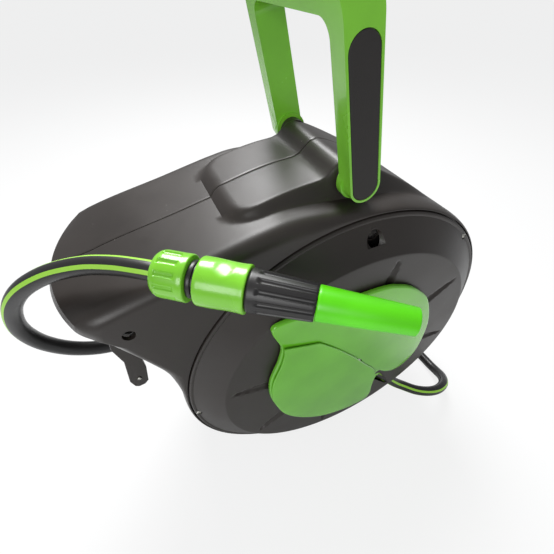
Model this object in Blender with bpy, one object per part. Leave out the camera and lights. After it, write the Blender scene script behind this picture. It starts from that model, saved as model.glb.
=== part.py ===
"""Garden hose reel cart: a drum of hose in a closed two-shell hood with a folding handle.

Metres, +Z up. The drum's axle runs along Y at AXLE_HEIGHT above the floor, the hood's nose
points to -X, and the crank is on the near side, at -Y. Each moving piece hangs from an empty
on its joint's axis. Touching pieces keep GAP between them.
"""
from math import atan2, ceil, cos, hypot, pi, radians, sin

import bpy
from mathutils import Vector

# Fits
GAP = 0.0003
RUNNING = 0.0004
WALL = 0.003

# Housing: side outline as points from the axle, in a plane across the axle
AXLE_HEIGHT = 0.200
MIDDLE = (-0.0360, -0.0051)
HOOD_RADIUS = 0.190
HOOD_HALF_WIDTH = 0.083
SHOULDER = 0.014
TOP_LINE = [(0.045, 0.1848), (0.027, 0.1885), (-0.024, 0.1935), (-0.068, 0.1955), (-0.093, 0.192),
            (-0.116, 0.187), (-0.150, 0.179), (-0.183, 0.172), (-0.205, 0.167), (-0.226, 0.161)]
NOSE = [(-0.234, 0.156), (-0.237, 0.148), (-0.234, 0.141), (-0.228, 0.137)]
THROAT = [(-0.221, 0.121), (-0.208, 0.093), (-0.199, 0.072), (-0.194, 0.054), (-0.190, 0.029),
          (-0.1895, 0.013)]
NOSE_BULGE = 0.025
PLATEAU_HALF_WIDTH = 0.050
PLATEAU_FOOT = 0.057
PLATEAU = [(0.096, 0.164), (0.064, 0.186), (0.030, 0.205), (0.005, 0.218), (-0.009, 0.223),
           (-0.016, 0.223), (-0.024, 0.215), (-0.031, 0.210), (-0.052, 0.208), (-0.075, 0.204),
           (-0.105, 0.1965), (-0.109, 0.194), (-0.115, 0.1880)]
MOUTH_TOP = 0.138
MOUTH_BOTTOM = 0.024
MOUTH_DEPTH = 0.150
RETURN_EDGE = 0.006
ROUND_STEP = radians(12)

# Round side covers
COVER_RADIUS = 0.185
COVER_DISC_RADIUS = 0.154
COVER_RISE = 0.020
COVER_RIM = 0.0032
LEDGE = 0.009
BEARING_RADIUS = 0.016
GROOVES = 8
GROOVE_START = radians(35)
GROOVE_OUTER = 0.144
GROOVE_INNER = 0.078
GROOVE_WIDTH = 0.016
GROOVE_DEPTH = 0.0018
RIM_SCREW_ANGLES = (radians(45), radians(185), radians(290))
RIM_SCREW_RADIUS = 0.1812
BOSS_ANGLE = radians(90)
BOSS_SCREW_RADIUS = 0.171
SCREW_HEAD = 0.0030
BOSS_HEAD = 0.0048
NOSE_SCREW = (-0.208, 0.137)
NOSE_HEAD_SEAT = 0.0755
SCREW_SHANK = 0.0015
COVER_TOP = HOOD_HALF_WIDTH + COVER_RISE
HUB_BACK = COVER_TOP - 0.011
OPENING = COVER_RADIUS + 0.0012
LEDGE_FACE = HOOD_HALF_WIDTH - COVER_RIM - GAP
LEDGE_INNER = COVER_RADIUS - LEDGE
LEDGE_CLEAR = LEDGE_INNER * cos(ROUND_STEP / 2) - GAP

# Recess for the water inlet, cut through the near cover's lower rear edge
INLET_ANGLE = radians(-54.5)
RECESS_FROM = radians(-64)
RECESS_TO = radians(-47.5)
RECESS_INNER = 0.098
RECESS_FLOOR = 0.0665
RECESS_WALL = 0.002

# Base and feet
BASE_HALF_LENGTH = 0.092
BASE_HALF_WIDTH = 0.048
FOOT_HEIGHT = 0.006
FOOT_RADIUS = 0.011
BASE_SOLE = 0.004

# Hose
HOSE_RADIUS = 0.00725
COIL_TURNS = 3
COIL_RADIUS = 0.0725
COIL_CENTRE = (0.105, 0.235)
FLOOR_CLEARANCE = 0.00025

# Drum
CORE_RADIUS = 0.045
DRUM_HALF_WIDTH = 0.056
FLANGE_RADIUS = 0.160
FLANGE_THICKNESS = 0.0035
FLANGE_WINDOWS = 6
FLANGE_WINDOW = (0.070, 0.116)
HOSE_LAYERS = 7
SHAFT_RADIUS = 0.012
SHAFT_BORE = 0.007
COLLAR_RADIUS = 0.022
SPIGOT_HEIGHT = -0.020

# Inlet neck: its ends as (distance from the axle, distance from the mid-plane)
NECK_RADIUS = 0.006
NECK_ROOT = (0.016, 0.0830)
NECK_END = (0.1078, 0.0902)
COLLAR_BACK = 0.0668

# Crank
CRANK_CLEARANCE = 0.0015
CRANK_THICKNESS = 0.0062
CRANK_PLATE = 0.0022
CRANK_OUTLINE = [(-0.102, 0.118), (-0.094, 0.086), (-0.096, 0.064), (-0.105, 0.034), (-0.106, 0.006),
                 (-0.100, -0.022), (-0.089, -0.050), (-0.068, -0.078), (-0.037, -0.103), (-0.004, -0.115),
                 (0.022, -0.117), (0.038, -0.113), (0.0435, -0.099), (0.042, -0.078), (0.0425, -0.058),
                 (0.049, -0.050), (0.062, -0.061), (0.077, -0.067), (0.092, -0.061), (0.103, -0.042),
                 (0.1055, -0.014), (0.102, 0.022), (0.091, 0.054), (0.079, 0.077), (0.066, 0.091),
                 (0.049, 0.105), (0.032, 0.114), (0.012, 0.120), (-0.030, 0.121), (-0.070, 0.121)]
PLATE_ARC = [(0.0415, -0.052), (0.032, -0.030), (0.016, -0.009), (-0.007, 0.022), (-0.033, 0.053),
             (-0.055, 0.076)]
GRIP_MIDDLE = (0.036, 0.058)
GRIP_ANGLE = radians(-39)
GRIP_LENGTH = 0.070
GRIP_WIDTH = 0.021
GRIP_THICKNESS = 0.0070
GRIP_PIN = 0.0016
PIN_HALF = GRIP_WIDTH / 2 + 0.005
SPINDLE_SQUARE = 0.014
CRANK_BACK = COVER_TOP + CRANK_CLEARANCE
CRANK_FACE = CRANK_BACK + CRANK_THICKNESS

# Handle
HANDLE_PIVOT = (-0.008, 0.211)
HANDLE_LEAN = radians(12.5)
HANDLE_REACH = 0.134
HANDLE_BAR = 0.023
HANDLE_HALF_WIDTH = 0.076
HANDLE_ARM = 0.016
HANDLE_DEPTH = 0.027
PIVOT_BOSS = 0.012
PIVOT_PIN = 0.004
INSERT_WIDTH = 0.0225
INSERT_RECESS = 0.002
ARM_FACE = HANDLE_HALF_WIDTH - HANDLE_ARM
ARM_BOSS_FACE = ARM_FACE - 0.002
BOSS_FACE = ARM_BOSS_FACE - GAP
BOSS_BACK = BOSS_FACE - 0.0105
PIN_TIP = HANDLE_HALF_WIDTH - 0.0045

# Hose guide under the nose
GUIDE_HALF_WIDTH = 0.042
GUIDE_CHEEK = 0.004
GUIDE_OUTLINE = [(-0.2370, 0.078), (-0.2325, 0.055), (-0.2370, 0.020), (-0.2335, 0.007),
                 (-0.2205, 0.011), (-0.2165, 0.034)]
GUIDE_DROP = 0.84 * WALL + GAP
ROLLER_RADIUS = 0.005
ROLLER_PIN = 0.0020
ROLLER_PLACES = {"guide_roller_top": (-0.2265, 0.078), "guide_roller_bottom": (-0.2270, 0.0215)}

# Hose end: positions along its axis, from the middle of the nut
HOSE_END = (-0.16250, -0.09085, 0.38820)
HOSE_END_DIRECTION = (0.799, -0.601, -0.034)
NUT_BACK = -0.0150
NUT_FRONT = 0.0099
NUT_RADIUS = 0.0165
NUT_FLUTES = 10
SLEEVE_BACK = 0.0162
SLEEVE_FRONT = 0.0493
SLEEVE_RADIUS = 0.0169
BODY_RADIUS = 0.0131
SOCKET_RADIUS = 0.0070
BARREL_FRONT = 0.0930
BARREL_RIBS = 14
TIP_FRONT = 0.1546
STEM_RADIUS = 0.0066
TAP_END = (-0.030, 0.306, 0.0172)

STEPS_LARGE = 40
DRUM_STEPS = 30
STEPS_MEDIUM = 24
STEPS_SMALL = 12


# ---------------------------------------------------------------- tools of the trade

def material(name, colour, roughness, metallic=0.0):
    made = bpy.data.materials.new(name)
    made.use_nodes = True
    shader = made.node_tree.nodes["Principled BSDF"]
    shader.inputs["Base Color"].default_value = (*colour, 1.0)
    shader.inputs["Roughness"].default_value = roughness
    shader.inputs["Metallic"].default_value = metallic
    made.diffuse_color = (*colour, 1.0)
    return made


def place(name, data, parent=None, location=(0, 0, 0), rotation=(0, 0, 0)):
    made = bpy.data.objects.new(name, data)
    bpy.context.scene.collection.objects.link(made)
    made.parent = parent
    made.location = location
    made.rotation_euler = rotation
    return made


def mesh_object(name, points, faces, look, parent, location=(0, 0, 0), rotation=(0, 0, 0)):
    mesh = bpy.data.meshes.new(name)
    mesh.from_pydata([tuple(p) for p in points], [], faces)
    mesh.materials.append(look)
    mesh.shade_smooth()
    mesh.set_sharp_from_angle(angle=radians(35))
    return place(name, mesh, parent, location, rotation)


def as_guide(piece):
    piece.hide_render = True
    piece.display_type = "WIRE"
    return piece


def combine(piece, operation, others):
    """One Boolean of the piece with all the others together."""
    group = bpy.data.collections.new(f"{piece.name}_{operation.lower()}")
    for other in others:
        group.objects.link(as_guide(other))
    change = piece.modifiers.new(operation.lower(), "BOOLEAN")
    change.operation = operation
    change.operand_type = "COLLECTION"
    change.collection = group
    return piece


def cut(piece, *others):
    return combine(piece, "DIFFERENCE", others)


def unite(piece, *others):
    return combine(piece, "UNION", others)


def rounded(piece, width, segments=2, limit=radians(40)):
    bevel = piece.modifiers.new("rounding", "BEVEL")
    bevel.width = width
    bevel.segments = segments
    bevel.limit_method = "ANGLE"
    bevel.angle_limit = limit
    return piece


def prism(name, outline, low, high, look, parent=None, location=(0, 0, 0), rotation=(0, 0, 0)):
    """A counter-clockwise outline in local XY, extruded along local Z."""
    count = len(outline)
    points = [(x, y, low) for x, y in outline] + [(x, y, high) for x, y in outline]
    sides = [(i, (i + 1) % count, (i + 1) % count + count, i + count) for i in range(count)]
    faces = [tuple(reversed(range(count))), tuple(range(count, 2 * count))] + sides
    return mesh_object(name, points, faces, look, parent, location, rotation)


def turned(name, profile, look, parent=None, location=(0, 0, 0), rotation=(0, 0, 0), steps=STEPS_MEDIUM):
    """A profile of (radius, height), listed down its outer side, turned about local Z."""
    closed = profile[0][0] > 0 and profile[-1][0] > 0
    edges = [(i, i + 1) for i in range(len(profile) - 1)]
    if closed:
        edges.append((len(profile) - 1, 0))
    mesh = bpy.data.meshes.new(name)
    mesh.from_pydata([(r, 0, z) for r, z in profile], edges, [])
    mesh.materials.append(look)
    made = place(name, mesh, parent, location, rotation)
    screw = made.modifiers.new("turning", "SCREW")
    screw.steps = screw.render_steps = steps
    screw.use_merge_vertices = True
    screw.merge_threshold = 0.00001
    screw.use_smooth_shade = True
    return made


def tube_profile(outer, inner, low, high):
    return [(outer, high), (outer, low), (inner, low), (inner, high)]


def rod_profile(radius, low, high):
    return [(0, high), (radius, high), (radius, low), (0, low)]


def circle(radius, count, middle=(0, 0), start=0.0):
    return [(middle[0] + radius * cos(start + 2 * pi * i / count),
             middle[1] + radius * sin(start + 2 * pi * i / count)) for i in range(count)]


def stadium(length, width, count=6):
    """A round-ended outline along local X, counter-clockwise."""
    half, radius = length / 2 - width / 2, width / 2
    right = [(half + radius * cos(a), radius * sin(a)) for a in arc_angles(-pi / 2, pi / 2, count)]
    left = [(-half + radius * cos(a), radius * sin(a)) for a in arc_angles(pi / 2, 3 * pi / 2, count)]
    return right + left


def arc_angles(first, last, count):
    return [first + (last - first) * i / count for i in range(count + 1)]


def sector(inner, outer, first, last, count=6):
    """A sector of a ring, counter-clockwise."""
    rim = [(outer * cos(a), outer * sin(a)) for a in arc_angles(first, last, count)]
    hub = [(inner * cos(a), inner * sin(a)) for a in arc_angles(last, first, count)]
    return rim + hub


def spline(points, per_span, closed=False):
    """Catmull-Rom points through the given ones."""
    given = [Vector(p) for p in points]
    count = len(given)
    spans = count if closed else count - 1
    made = []
    for i in range(spans):
        before = given[(i - 1) % count] if closed else given[max(i - 1, 0)]
        after = given[(i + 2) % count] if closed else given[min(i + 2, count - 1)]
        start, end = given[i], given[(i + 1) % count]
        for k in range(per_span):
            t = k / per_span
            made.append(0.5 * (2 * start + (end - before) * t
                               + (2 * before - 5 * start + 4 * end - after) * t ** 2
                               + (3 * start - before - 3 * end + after) * t ** 3))
    if not closed:
        made.append(given[-1])
    return made


def lerp(a, b, t):
    return a + (b - a) * t


def ease(value, low, high):
    t = min(max((value - low) / (high - low), 0.0), 1.0)
    return t * t * (3 - 2 * t)


# ---------------------------------------------------------------- hood

def polar_table(points):
    fine = spline([(x, z) for x, z in points], 3)
    return [(atan2(p.y, p.x), hypot(p.x, p.y)) for p in fine]


def radius_at(table, angle, outside):
    if not table[0][0] <= angle <= table[-1][0]:
        return outside
    for (a0, r0), (a1, r1) in zip(table, table[1:]):
        if a0 <= angle <= a1:
            return lerp(r0, r1, (angle - a0) / (a1 - a0))
    return outside


def side_radius(angle):
    return radius_at(SIDE_TABLE, angle, HOOD_RADIUS)


def middle_radius(angle):
    return max(side_radius(angle), radius_at(PLATEAU_TABLE, angle, HOOD_RADIUS))


SIDE_TABLE = polar_table(TOP_LINE + NOSE + THROAT)
PLATEAU_TABLE = polar_table(PLATEAU)


def hood_stations():
    """Angles round the axle: every outline point, with the gaps between them divided."""
    control = [atan2(z, x) for x, z in TOP_LINE + NOSE + THROAT + PLATEAU]
    marks = sorted(control) + [min(control) + 2 * pi]
    stations = []
    for low, high in zip(marks, marks[1:]):
        widest = ROUND_STEP if high - low > radians(30) else 0.7 * ROUND_STEP
        parts = max(1, ceil((high - low) / widest))
        if high - low > radians(0.9):
            stations += [lerp(low, high, i / parts) for i in range(parts)]
    return stations


def nose_bulge(angle):
    tip = ease(angle, radians(143.8), radians(148)) * (1 - ease(angle, radians(150), radians(154)))
    return NOSE_BULGE * tip


def hood_section(angle):
    """(radius, distance from the mid-plane) round the skin at one angle, closed."""
    side, middle = side_radius(angle), middle_radius(angle)
    drop = min(SHOULDER, 0.8 * (side - OPENING))
    inner_drop = max(drop - WALL, 0.0006)
    open_side = ease(side - drop, OPENING + WALL, OPENING + WALL + 0.006)
    side_face = lerp(LEDGE_FACE - WALL + 0.0006, HOOD_HALF_WIDTH - WALL, open_side)
    shoulder_y = HOOD_HALF_WIDTH - SHOULDER
    outer = [(LEDGE_INNER, LEDGE_FACE), (OPENING, LEDGE_FACE), (OPENING, HOOD_HALF_WIDTH)]
    for a in arc_angles(0, pi / 2, 3):
        outer.append((side - drop + drop * sin(a), shoulder_y + SHOULDER * cos(a)))
    outer += [(side, PLATEAU_FOOT), (middle, PLATEAU_HALF_WIDTH), (middle, PLATEAU_HALF_WIDTH / 2),
              (middle, GAP / 2)]
    step = min(OPENING + WALL, side - drop - 0.0004)
    inner = [(middle - WALL, GAP / 2), (middle - WALL, PLATEAU_HALF_WIDTH - 0.6 * WALL),
             (side - WALL, PLATEAU_FOOT - 0.6 * WALL)]
    for a in arc_angles(pi / 2, 0, 2):
        inner.append((side - WALL - inner_drop + inner_drop * sin(a),
                      shoulder_y + (side_face - shoulder_y) * cos(a)))
    inner += [(step, side_face), (step, LEDGE_FACE - WALL), (LEDGE_INNER, LEDGE_FACE - WALL)]
    return outer + inner


def hood_half(name, frame, flip, look, extra_cutters):
    points, faces = [], []
    stations = hood_stations()
    for angle in stations:
        for radius, y in hood_section(angle):
            across = max(0.0, 1 - (y / (HOOD_HALF_WIDTH - WALL)) ** 2)
            x = radius * cos(angle) - nose_bulge(angle) * across
            points.append((flip * x, radius * sin(angle), y))
    ring, count = len(hood_section(0.0)), len(stations)
    for i in range(count):
        for k in range(ring):
            a, b = i * ring, (i + 1) % count * ring
            n = (k + 1) % ring
            quad = (a + k, b + k, b + n, a + n)
            faces.append(quad if flip > 0 else tuple(reversed(quad)))
    hood = mesh_object(name, points, faces, look, frame)
    mouth = [(-0.320, MOUTH_BOTTOM), (-MOUTH_DEPTH, MOUTH_BOTTOM), (-MOUTH_DEPTH, MOUTH_TOP), (-0.320, MOUTH_TOP)]
    mouth_cut = prism(name + "_mouth", turned_over(mouth, flip), -0.01, HOOD_HALF_WIDTH - RETURN_EDGE - 0.0012,
                      look, frame)
    pivot = (flip * HANDLE_PIVOT[0], HANDLE_PIVOT[1], 0)
    boss = turned(name + "_pivot_boss", rod_profile(PIVOT_BOSS, BOSS_BACK, BOSS_FACE), look, frame, pivot)
    bore = turned(name + "_pivot_bore", rod_profile(PIVOT_PIN + GAP, BOSS_BACK - 0.01, BOSS_FACE + 0.01), look,
                  frame, pivot, steps=STEPS_SMALL)
    nose = (flip * NOSE_SCREW[0], NOSE_SCREW[1], 0)
    pillar = turned(name + "_nose_pillar", rod_profile(0.007, GAP / 2, HOOD_HALF_WIDTH - 0.0015), look, frame,
                    nose, steps=STEPS_SMALL)
    lug = turned(name + "_cover_lug", rod_profile(0.0066, LEDGE_FACE - 0.013, LEDGE_FACE), look, frame,
                 (flip * BOSS_SCREW_RADIUS * cos(BOSS_ANGLE), BOSS_SCREW_RADIUS * sin(BOSS_ANGLE), 0),
                 steps=STEPS_SMALL)
    holes = []
    for i, (radius, angle) in enumerate(cover_screw_places()):
        where = (flip * radius * cos(angle), radius * sin(angle), 0)
        holes.append(turned(f"{name}_screw_hole_{i}",
                            rod_profile(SCREW_SHANK + GAP, LEDGE_FACE - 0.0095, LEDGE_FACE + 0.01), look, frame,
                            where, steps=12))
    unite(hood, boss, pillar, lug)
    cut(hood, mouth_cut, bore, *holes, *extra_cutters)


def turned_over(outline, flip):
    return outline if flip > 0 else [(-x, y) for x, y in reversed(outline)]


def cover_screw_places():
    rim = [(RIM_SCREW_RADIUS, angle) for angle in RIM_SCREW_ANGLES]
    return rim + [(BOSS_SCREW_RADIUS, BOSS_ANGLE)]


def nose_bores(near, far, look):
    """The near pillar's through bore and counterbore, and the far pillar's blind bore."""
    x, z = NOSE_SCREW
    bore = turned("nose_bore_near", rod_profile(0.0022, -0.01, 0.1), look, near, (x, z, 0), steps=STEPS_SMALL)
    mouth = turned("nose_mouth_near", rod_profile(BOSS_HEAD + GAP, NOSE_HEAD_SEAT, 0.1), look, near, (x, z, 0),
                   steps=STEPS_SMALL)
    blind = turned("nose_bore_far", rod_profile(0.0022, -0.01, 0.030), look, far, (-x, z, 0), steps=STEPS_SMALL)
    return [bore, mouth], [blind]


def nose_screw(near):
    x, z = NOSE_SCREW
    profile = [(0, NOSE_HEAD_SEAT + 0.003), (BOSS_HEAD, NOSE_HEAD_SEAT + 0.003), (BOSS_HEAD, NOSE_HEAD_SEAT + GAP),
               (0.0019, NOSE_HEAD_SEAT + GAP), (0.0019, -0.020), (0, -0.022)]
    turned("nose_screw", profile, STEEL, near, (x, z, 0), steps=STEPS_SMALL)


# ---------------------------------------------------------------- side covers

def groove_cutter(name, look, frame, angle):
    """A flute, pointed at its outer end, that widens and deepens towards the crank."""
    half = GROOVE_WIDTH / 2
    inner = [(GROOVE_INNER, half * cos(a), COVER_TOP - GROOVE_DEPTH * sin(a)) for a in arc_angles(0, pi, 4)]
    inner += [(GROOVE_INNER, -half, COVER_TOP + 0.003), (GROOVE_INNER, half, COVER_TOP + 0.003)]
    tips = [(GROOVE_OUTER, 0, COVER_TOP + 0.00001), (GROOVE_OUTER, 0, COVER_TOP + 0.003)]
    count = len(inner)
    points = inner + tips
    low, high = count, count + 1
    faces = [tuple(range(count))]
    faces += [(i + 1, i, low) for i in range(count - 3)]
    faces += [(count - 2, count - 3, low, high), (0, count - 1, high, low), (count - 1, count - 2, high)]
    faces = [tuple(reversed(face)) for face in faces]
    return mesh_object(name, points, [tuple(reversed(f)) for f in faces], look, frame, rotation=(0, 0, angle))


def side_cover(name, frame, flip, look, recess=None):
    low = HOOD_HALF_WIDTH - COVER_RIM
    disc = COVER_TOP - WALL - 0.0008
    profile = [(BEARING_RADIUS, COVER_TOP), (COVER_DISC_RADIUS - 0.002, COVER_TOP),
               (COVER_DISC_RADIUS, COVER_TOP - 0.0006), (COVER_RADIUS, HOOD_HALF_WIDTH), (COVER_RADIUS, low),
               (COVER_RADIUS - 0.0072, low), (COVER_RADIUS - 0.0085, low + 0.0052),
               (COVER_DISC_RADIUS - 0.0016, disc), (BEARING_RADIUS + 0.008, disc),
               (BEARING_RADIUS + 0.008, HUB_BACK), (BEARING_RADIUS, HUB_BACK)]
    cover = turned(name, profile, look, frame, steps=STEPS_LARGE)
    shells, cutters = recess(look, frame) if recess else ([], [])
    lug = turned(name + "_lug", rod_profile(0.0063, low, HOOD_HALF_WIDTH + 0.0046), look, frame,
                 (0, BOSS_SCREW_RADIUS, 0), steps=STEPS_SMALL)
    unite(cover, lug, *shells)
    for i in range(GROOVES):
        angle = GROOVE_START + 2 * pi * i / GROOVES
        cutters.append(groove_cutter(f"{name}_groove_{i}", look, frame, angle if flip > 0 else pi - angle))
    for i, (radius, angle) in enumerate(cover_screw_places()):
        where = (flip * radius * cos(angle), radius * sin(angle), 0)
        head = (BOSS_HEAD if radius == BOSS_SCREW_RADIUS else SCREW_HEAD) + GAP
        seat = screw_seat(radius)
        hole = turned(f"{name}_screw_hole_{i}", [(0, COVER_TOP), (head, COVER_TOP), (head, seat),
                                                 (SCREW_SHANK + GAP, seat), (SCREW_SHANK + GAP, low - 0.01),
                                                 (0, low - 0.01)], look, frame, where, steps=STEPS_SMALL)
        cutters.append(hole)
    cut(cover, *cutters)


def screw_seat(radius):
    """Height of the ledge under a screw's head."""
    return HOOD_HALF_WIDTH + (0.0034 if radius == BOSS_SCREW_RADIUS else 0.0002)


def cover_screws(side, frame, flip):
    for i, (radius, angle) in enumerate(cover_screw_places()):
        where = (flip * radius * cos(angle), radius * sin(angle), 0)
        head = BOSS_HEAD if radius == BOSS_SCREW_RADIUS else SCREW_HEAD
        seat = screw_seat(radius) + GAP
        tip = LEDGE_FACE - 0.0085 if radius == BOSS_SCREW_RADIUS else LEDGE_FACE - 0.0027
        profile = [(0, seat + 0.0022), (0.55 * head, seat + 0.0022), (head, seat + 0.0012), (head, seat),
                   (SCREW_SHANK, seat), (SCREW_SHANK, tip), (0, tip)]
        turned(f"cover_screw_{side}_{i + 1}", profile, STEEL, frame, where, steps=12)


def inlet_recess(look, near):
    """A sector pocket in the near cover, open at the rim, with a hole for the inlet neck."""
    margin = RECESS_WALL / RECESS_INNER
    shell = prism("recess_shell", sector(RECESS_INNER - RECESS_WALL, LEDGE_CLEAR, RECESS_FROM - margin,
                                         RECESS_TO + margin), RECESS_FLOOR - RECESS_WALL, COVER_TOP - 0.002,
                  look, near)
    space = prism("recess_space", sector(RECESS_INNER, HOOD_RADIUS + 0.02, RECESS_FROM, RECESS_TO),
                  RECESS_FLOOR, COVER_TOP + 0.01, look, near)
    neck = neck_rod("recess_neck_hole", NECK_RADIUS + RUNNING, 0.08, 0.11, look, near)
    return [shell], [space, neck]


def hood_recess(look, near):
    """The hood's rim, cut back where the cover's recess opens."""
    margin = RECESS_WALL / RECESS_INNER / 2
    return prism("recess_edge", sector(LEDGE_INNER - 0.01, HOOD_RADIUS + 0.02, RECESS_FROM - margin,
                                       RECESS_TO + margin), RECESS_FLOOR, COVER_TOP, look, near)


# ---------------------------------------------------------------- water inlet

def neck_rod(name, radius, start, end, look, near, bore=0.0):
    """A round bar along the inlet neck, between two distances from the axle."""
    slope = (NECK_END[1] - NECK_ROOT[1]) / (NECK_END[0] - NECK_ROOT[0])
    height = NECK_ROOT[1] + slope * (start - NECK_ROOT[0])
    direction = Vector((cos(INLET_ANGLE), sin(INLET_ANGLE), slope)).normalized()
    length = (end - start) * hypot(1, slope)
    where = (start * cos(INLET_ANGLE), start * sin(INLET_ANGLE), height)
    profile = tube_profile(radius, bore, 0, length) if bore else rod_profile(radius, 0, length)
    turn = direction.to_track_quat("Z", "Y").to_euler()
    return turned(name, profile, look, near, where, turn, steps=STEPS_SMALL)


def water_inlet(near):
    inner = SHAFT_RADIUS + RUNNING
    profile = [(COLLAR_RADIUS, 0.0900), (COLLAR_RADIUS, COLLAR_BACK), (inner + 0.0028, COLLAR_BACK),
               (inner + 0.0028, COLLAR_BACK + 0.004), (inner, COLLAR_BACK + 0.004), (inner, 0.0900)]
    collar = turned("inlet_collar", profile, BLACK_PLASTIC, near)
    unite(collar, neck_rod("inlet_neck", NECK_RADIUS, NECK_ROOT[0], NECK_END[0], BLACK_PLASTIC, near))
    cut(collar, neck_rod("inlet_neck_bore", 0.0040, 0.006, 0.12, BLACK_PLASTIC, near),
        turned("inlet_shaft_space", rod_profile(inner, 0.06, 0.1), BLACK_PLASTIC, near))
    seal = tube_profile(inner + 0.0024, inner, COLLAR_BACK + GAP, COLLAR_BACK + 0.0037)
    turned("inlet_seal", seal, RUBBER, near)
    neck_rod("inlet_gland", 0.0094, 0.0994, 0.1072, GREEN_FITTING, near, bore=NECK_RADIUS + GAP)
    for side, frame in (("near", near), ("far", FAR)):
        top = COVER_TOP
        flange = HUB_BACK - GAP
        bush = [(BEARING_RADIUS - GAP, top), (BEARING_RADIUS - GAP, flange), (0.0195, flange),
                (0.0195, flange - 0.0014), (SHAFT_RADIUS + RUNNING, flange - 0.0014),
                (SHAFT_RADIUS + RUNNING, top)]
        turned("bush_" + side, bush, WHITE_PLASTIC, frame)


# ---------------------------------------------------------------- drum

def drum(axis):
    inner_face = DRUM_HALF_WIDTH
    outer_face = inner_face + FLANGE_THICKNESS
    core_bore = CORE_RADIUS - WALL
    turned("drum_core", tube_profile(CORE_RADIUS, core_bore, -inner_face + GAP, inner_face - GAP),
           GREY_PLASTIC, axis, steps=DRUM_STEPS)
    core = bpy.data.objects["drum_core"]
    spigot_turn = (0, radians(90), 0)
    cut(core, turned("core_port", rod_profile(0.0054, 0.035, 0.050), GREY_PLASTIC, axis, (0, 0, SPIGOT_HEIGHT),
                     spigot_turn, steps=STEPS_SMALL))
    spigot = tube_profile(0.0050, 0.0032, SHAFT_RADIUS + GAP + 0.0006, CORE_RADIUS - GAP)
    turned("hose_spigot", spigot, BLACK_PLASTIC, axis, (0, 0, SPIGOT_HEIGHT), spigot_turn, steps=STEPS_SMALL)
    hub = SHAFT_RADIUS + GAP
    profile = [(hub, outer_face + 0.003), (0.020, outer_face + 0.003), (0.0240, outer_face),
               (FLANGE_RADIUS - 0.008, outer_face), (FLANGE_RADIUS - 0.004, outer_face + 0.0025),
               (FLANGE_RADIUS, outer_face + 0.0025), (FLANGE_RADIUS, inner_face), (core_bore - GAP, inner_face),
               (core_bore - GAP, inner_face - 0.006), (core_bore - 0.003, inner_face - 0.006),
               (core_bore - 0.003, inner_face), (0.024, inner_face), (0.020, inner_face - 0.010),
               (hub, inner_face - 0.010)]
    for side, turn in (("near", (0, 0, 0)), ("far", (pi, 0, 0))):
        flange = turned("flange_" + side, profile, GREY_PLASTIC, axis, rotation=turn, steps=DRUM_STEPS)
        windows = []
        for i in range(FLANGE_WINDOWS):
            middle = 2 * pi * i / FLANGE_WINDOWS
            windows.append(prism(f"flange_{side}_window_{i}", sector(*FLANGE_WINDOW, middle - 0.25, middle + 0.25, 2),
                                 0.04, 0.08, GREY_PLASTIC, axis, rotation=turn))
        cut(flange, *windows)
    wound_hose(axis)
    drum_shaft(axis)


def wound_hose(axis):
    """The wound hose as one ring, scalloped where its outer turns lie side by side."""
    across = int(2 * DRUM_HALF_WIDTH / (2 * HOSE_RADIUS))
    half = across * HOSE_RADIUS
    bottom = CORE_RADIUS + GAP
    top = wound_radius() - HOSE_RADIUS
    profile = [(bottom, half), (top, half)]
    for i in range(across):
        middle = half - HOSE_RADIUS * (2 * i + 1)
        for a in arc_angles(pi / 2, -pi / 2, 2)[1:-1]:
            profile.append((top + HOSE_RADIUS * cos(a), middle + HOSE_RADIUS * sin(a)))
        profile.append((top, middle - HOSE_RADIUS))
    profile.append((bottom, -half))
    turned("wound_hose", profile, HOSE_BLACK, axis, steps=DRUM_STEPS)


def wound_radius():
    pitch = HOSE_RADIUS * 3 ** 0.5
    return CORE_RADIUS + GAP + 2 * HOSE_RADIUS + (HOSE_LAYERS - 1) * pitch


def drum_shaft(axis):
    end = COVER_TOP + 0.0009
    profile = [(0, end), (SHAFT_RADIUS, end), (SHAFT_RADIUS, -COVER_TOP), (0, -COVER_TOP)]
    shaft = turned("drum_shaft", profile, STEEL, axis)
    half = SPINDLE_SQUARE / 2
    square = [(-half, -half), (half, -half), (half, half), (-half, half)]
    spindle = prism("spindle_square", square, end - 0.004, CRANK_FACE - 0.0025, STEEL, axis)
    unite(shaft, spindle)
    water = turned("shaft_water", rod_profile(SHAFT_BORE, -0.030, 0.088), STEEL, axis, steps=STEPS_SMALL)
    thread = turned("shaft_thread", rod_profile(0.0031, 0.096, 0.12), STEEL, axis, steps=STEPS_SMALL)
    inlet = turned("shaft_inlet_port", rod_profile(0.0032, 0, 0.02), STEEL, axis, (0, 0, NECK_ROOT[1]),
                   (pi / 2, 0, 0), steps=STEPS_SMALL)
    outlet = turned("shaft_outlet_port", rod_profile(0.0032, 0, 0.02), STEEL, axis, (0, 0, SPIGOT_HEIGHT),
                    (0, pi / 2, 0), steps=STEPS_SMALL)
    cut(shaft, water, thread, inlet, outlet)


# ---------------------------------------------------------------- crank

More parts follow.
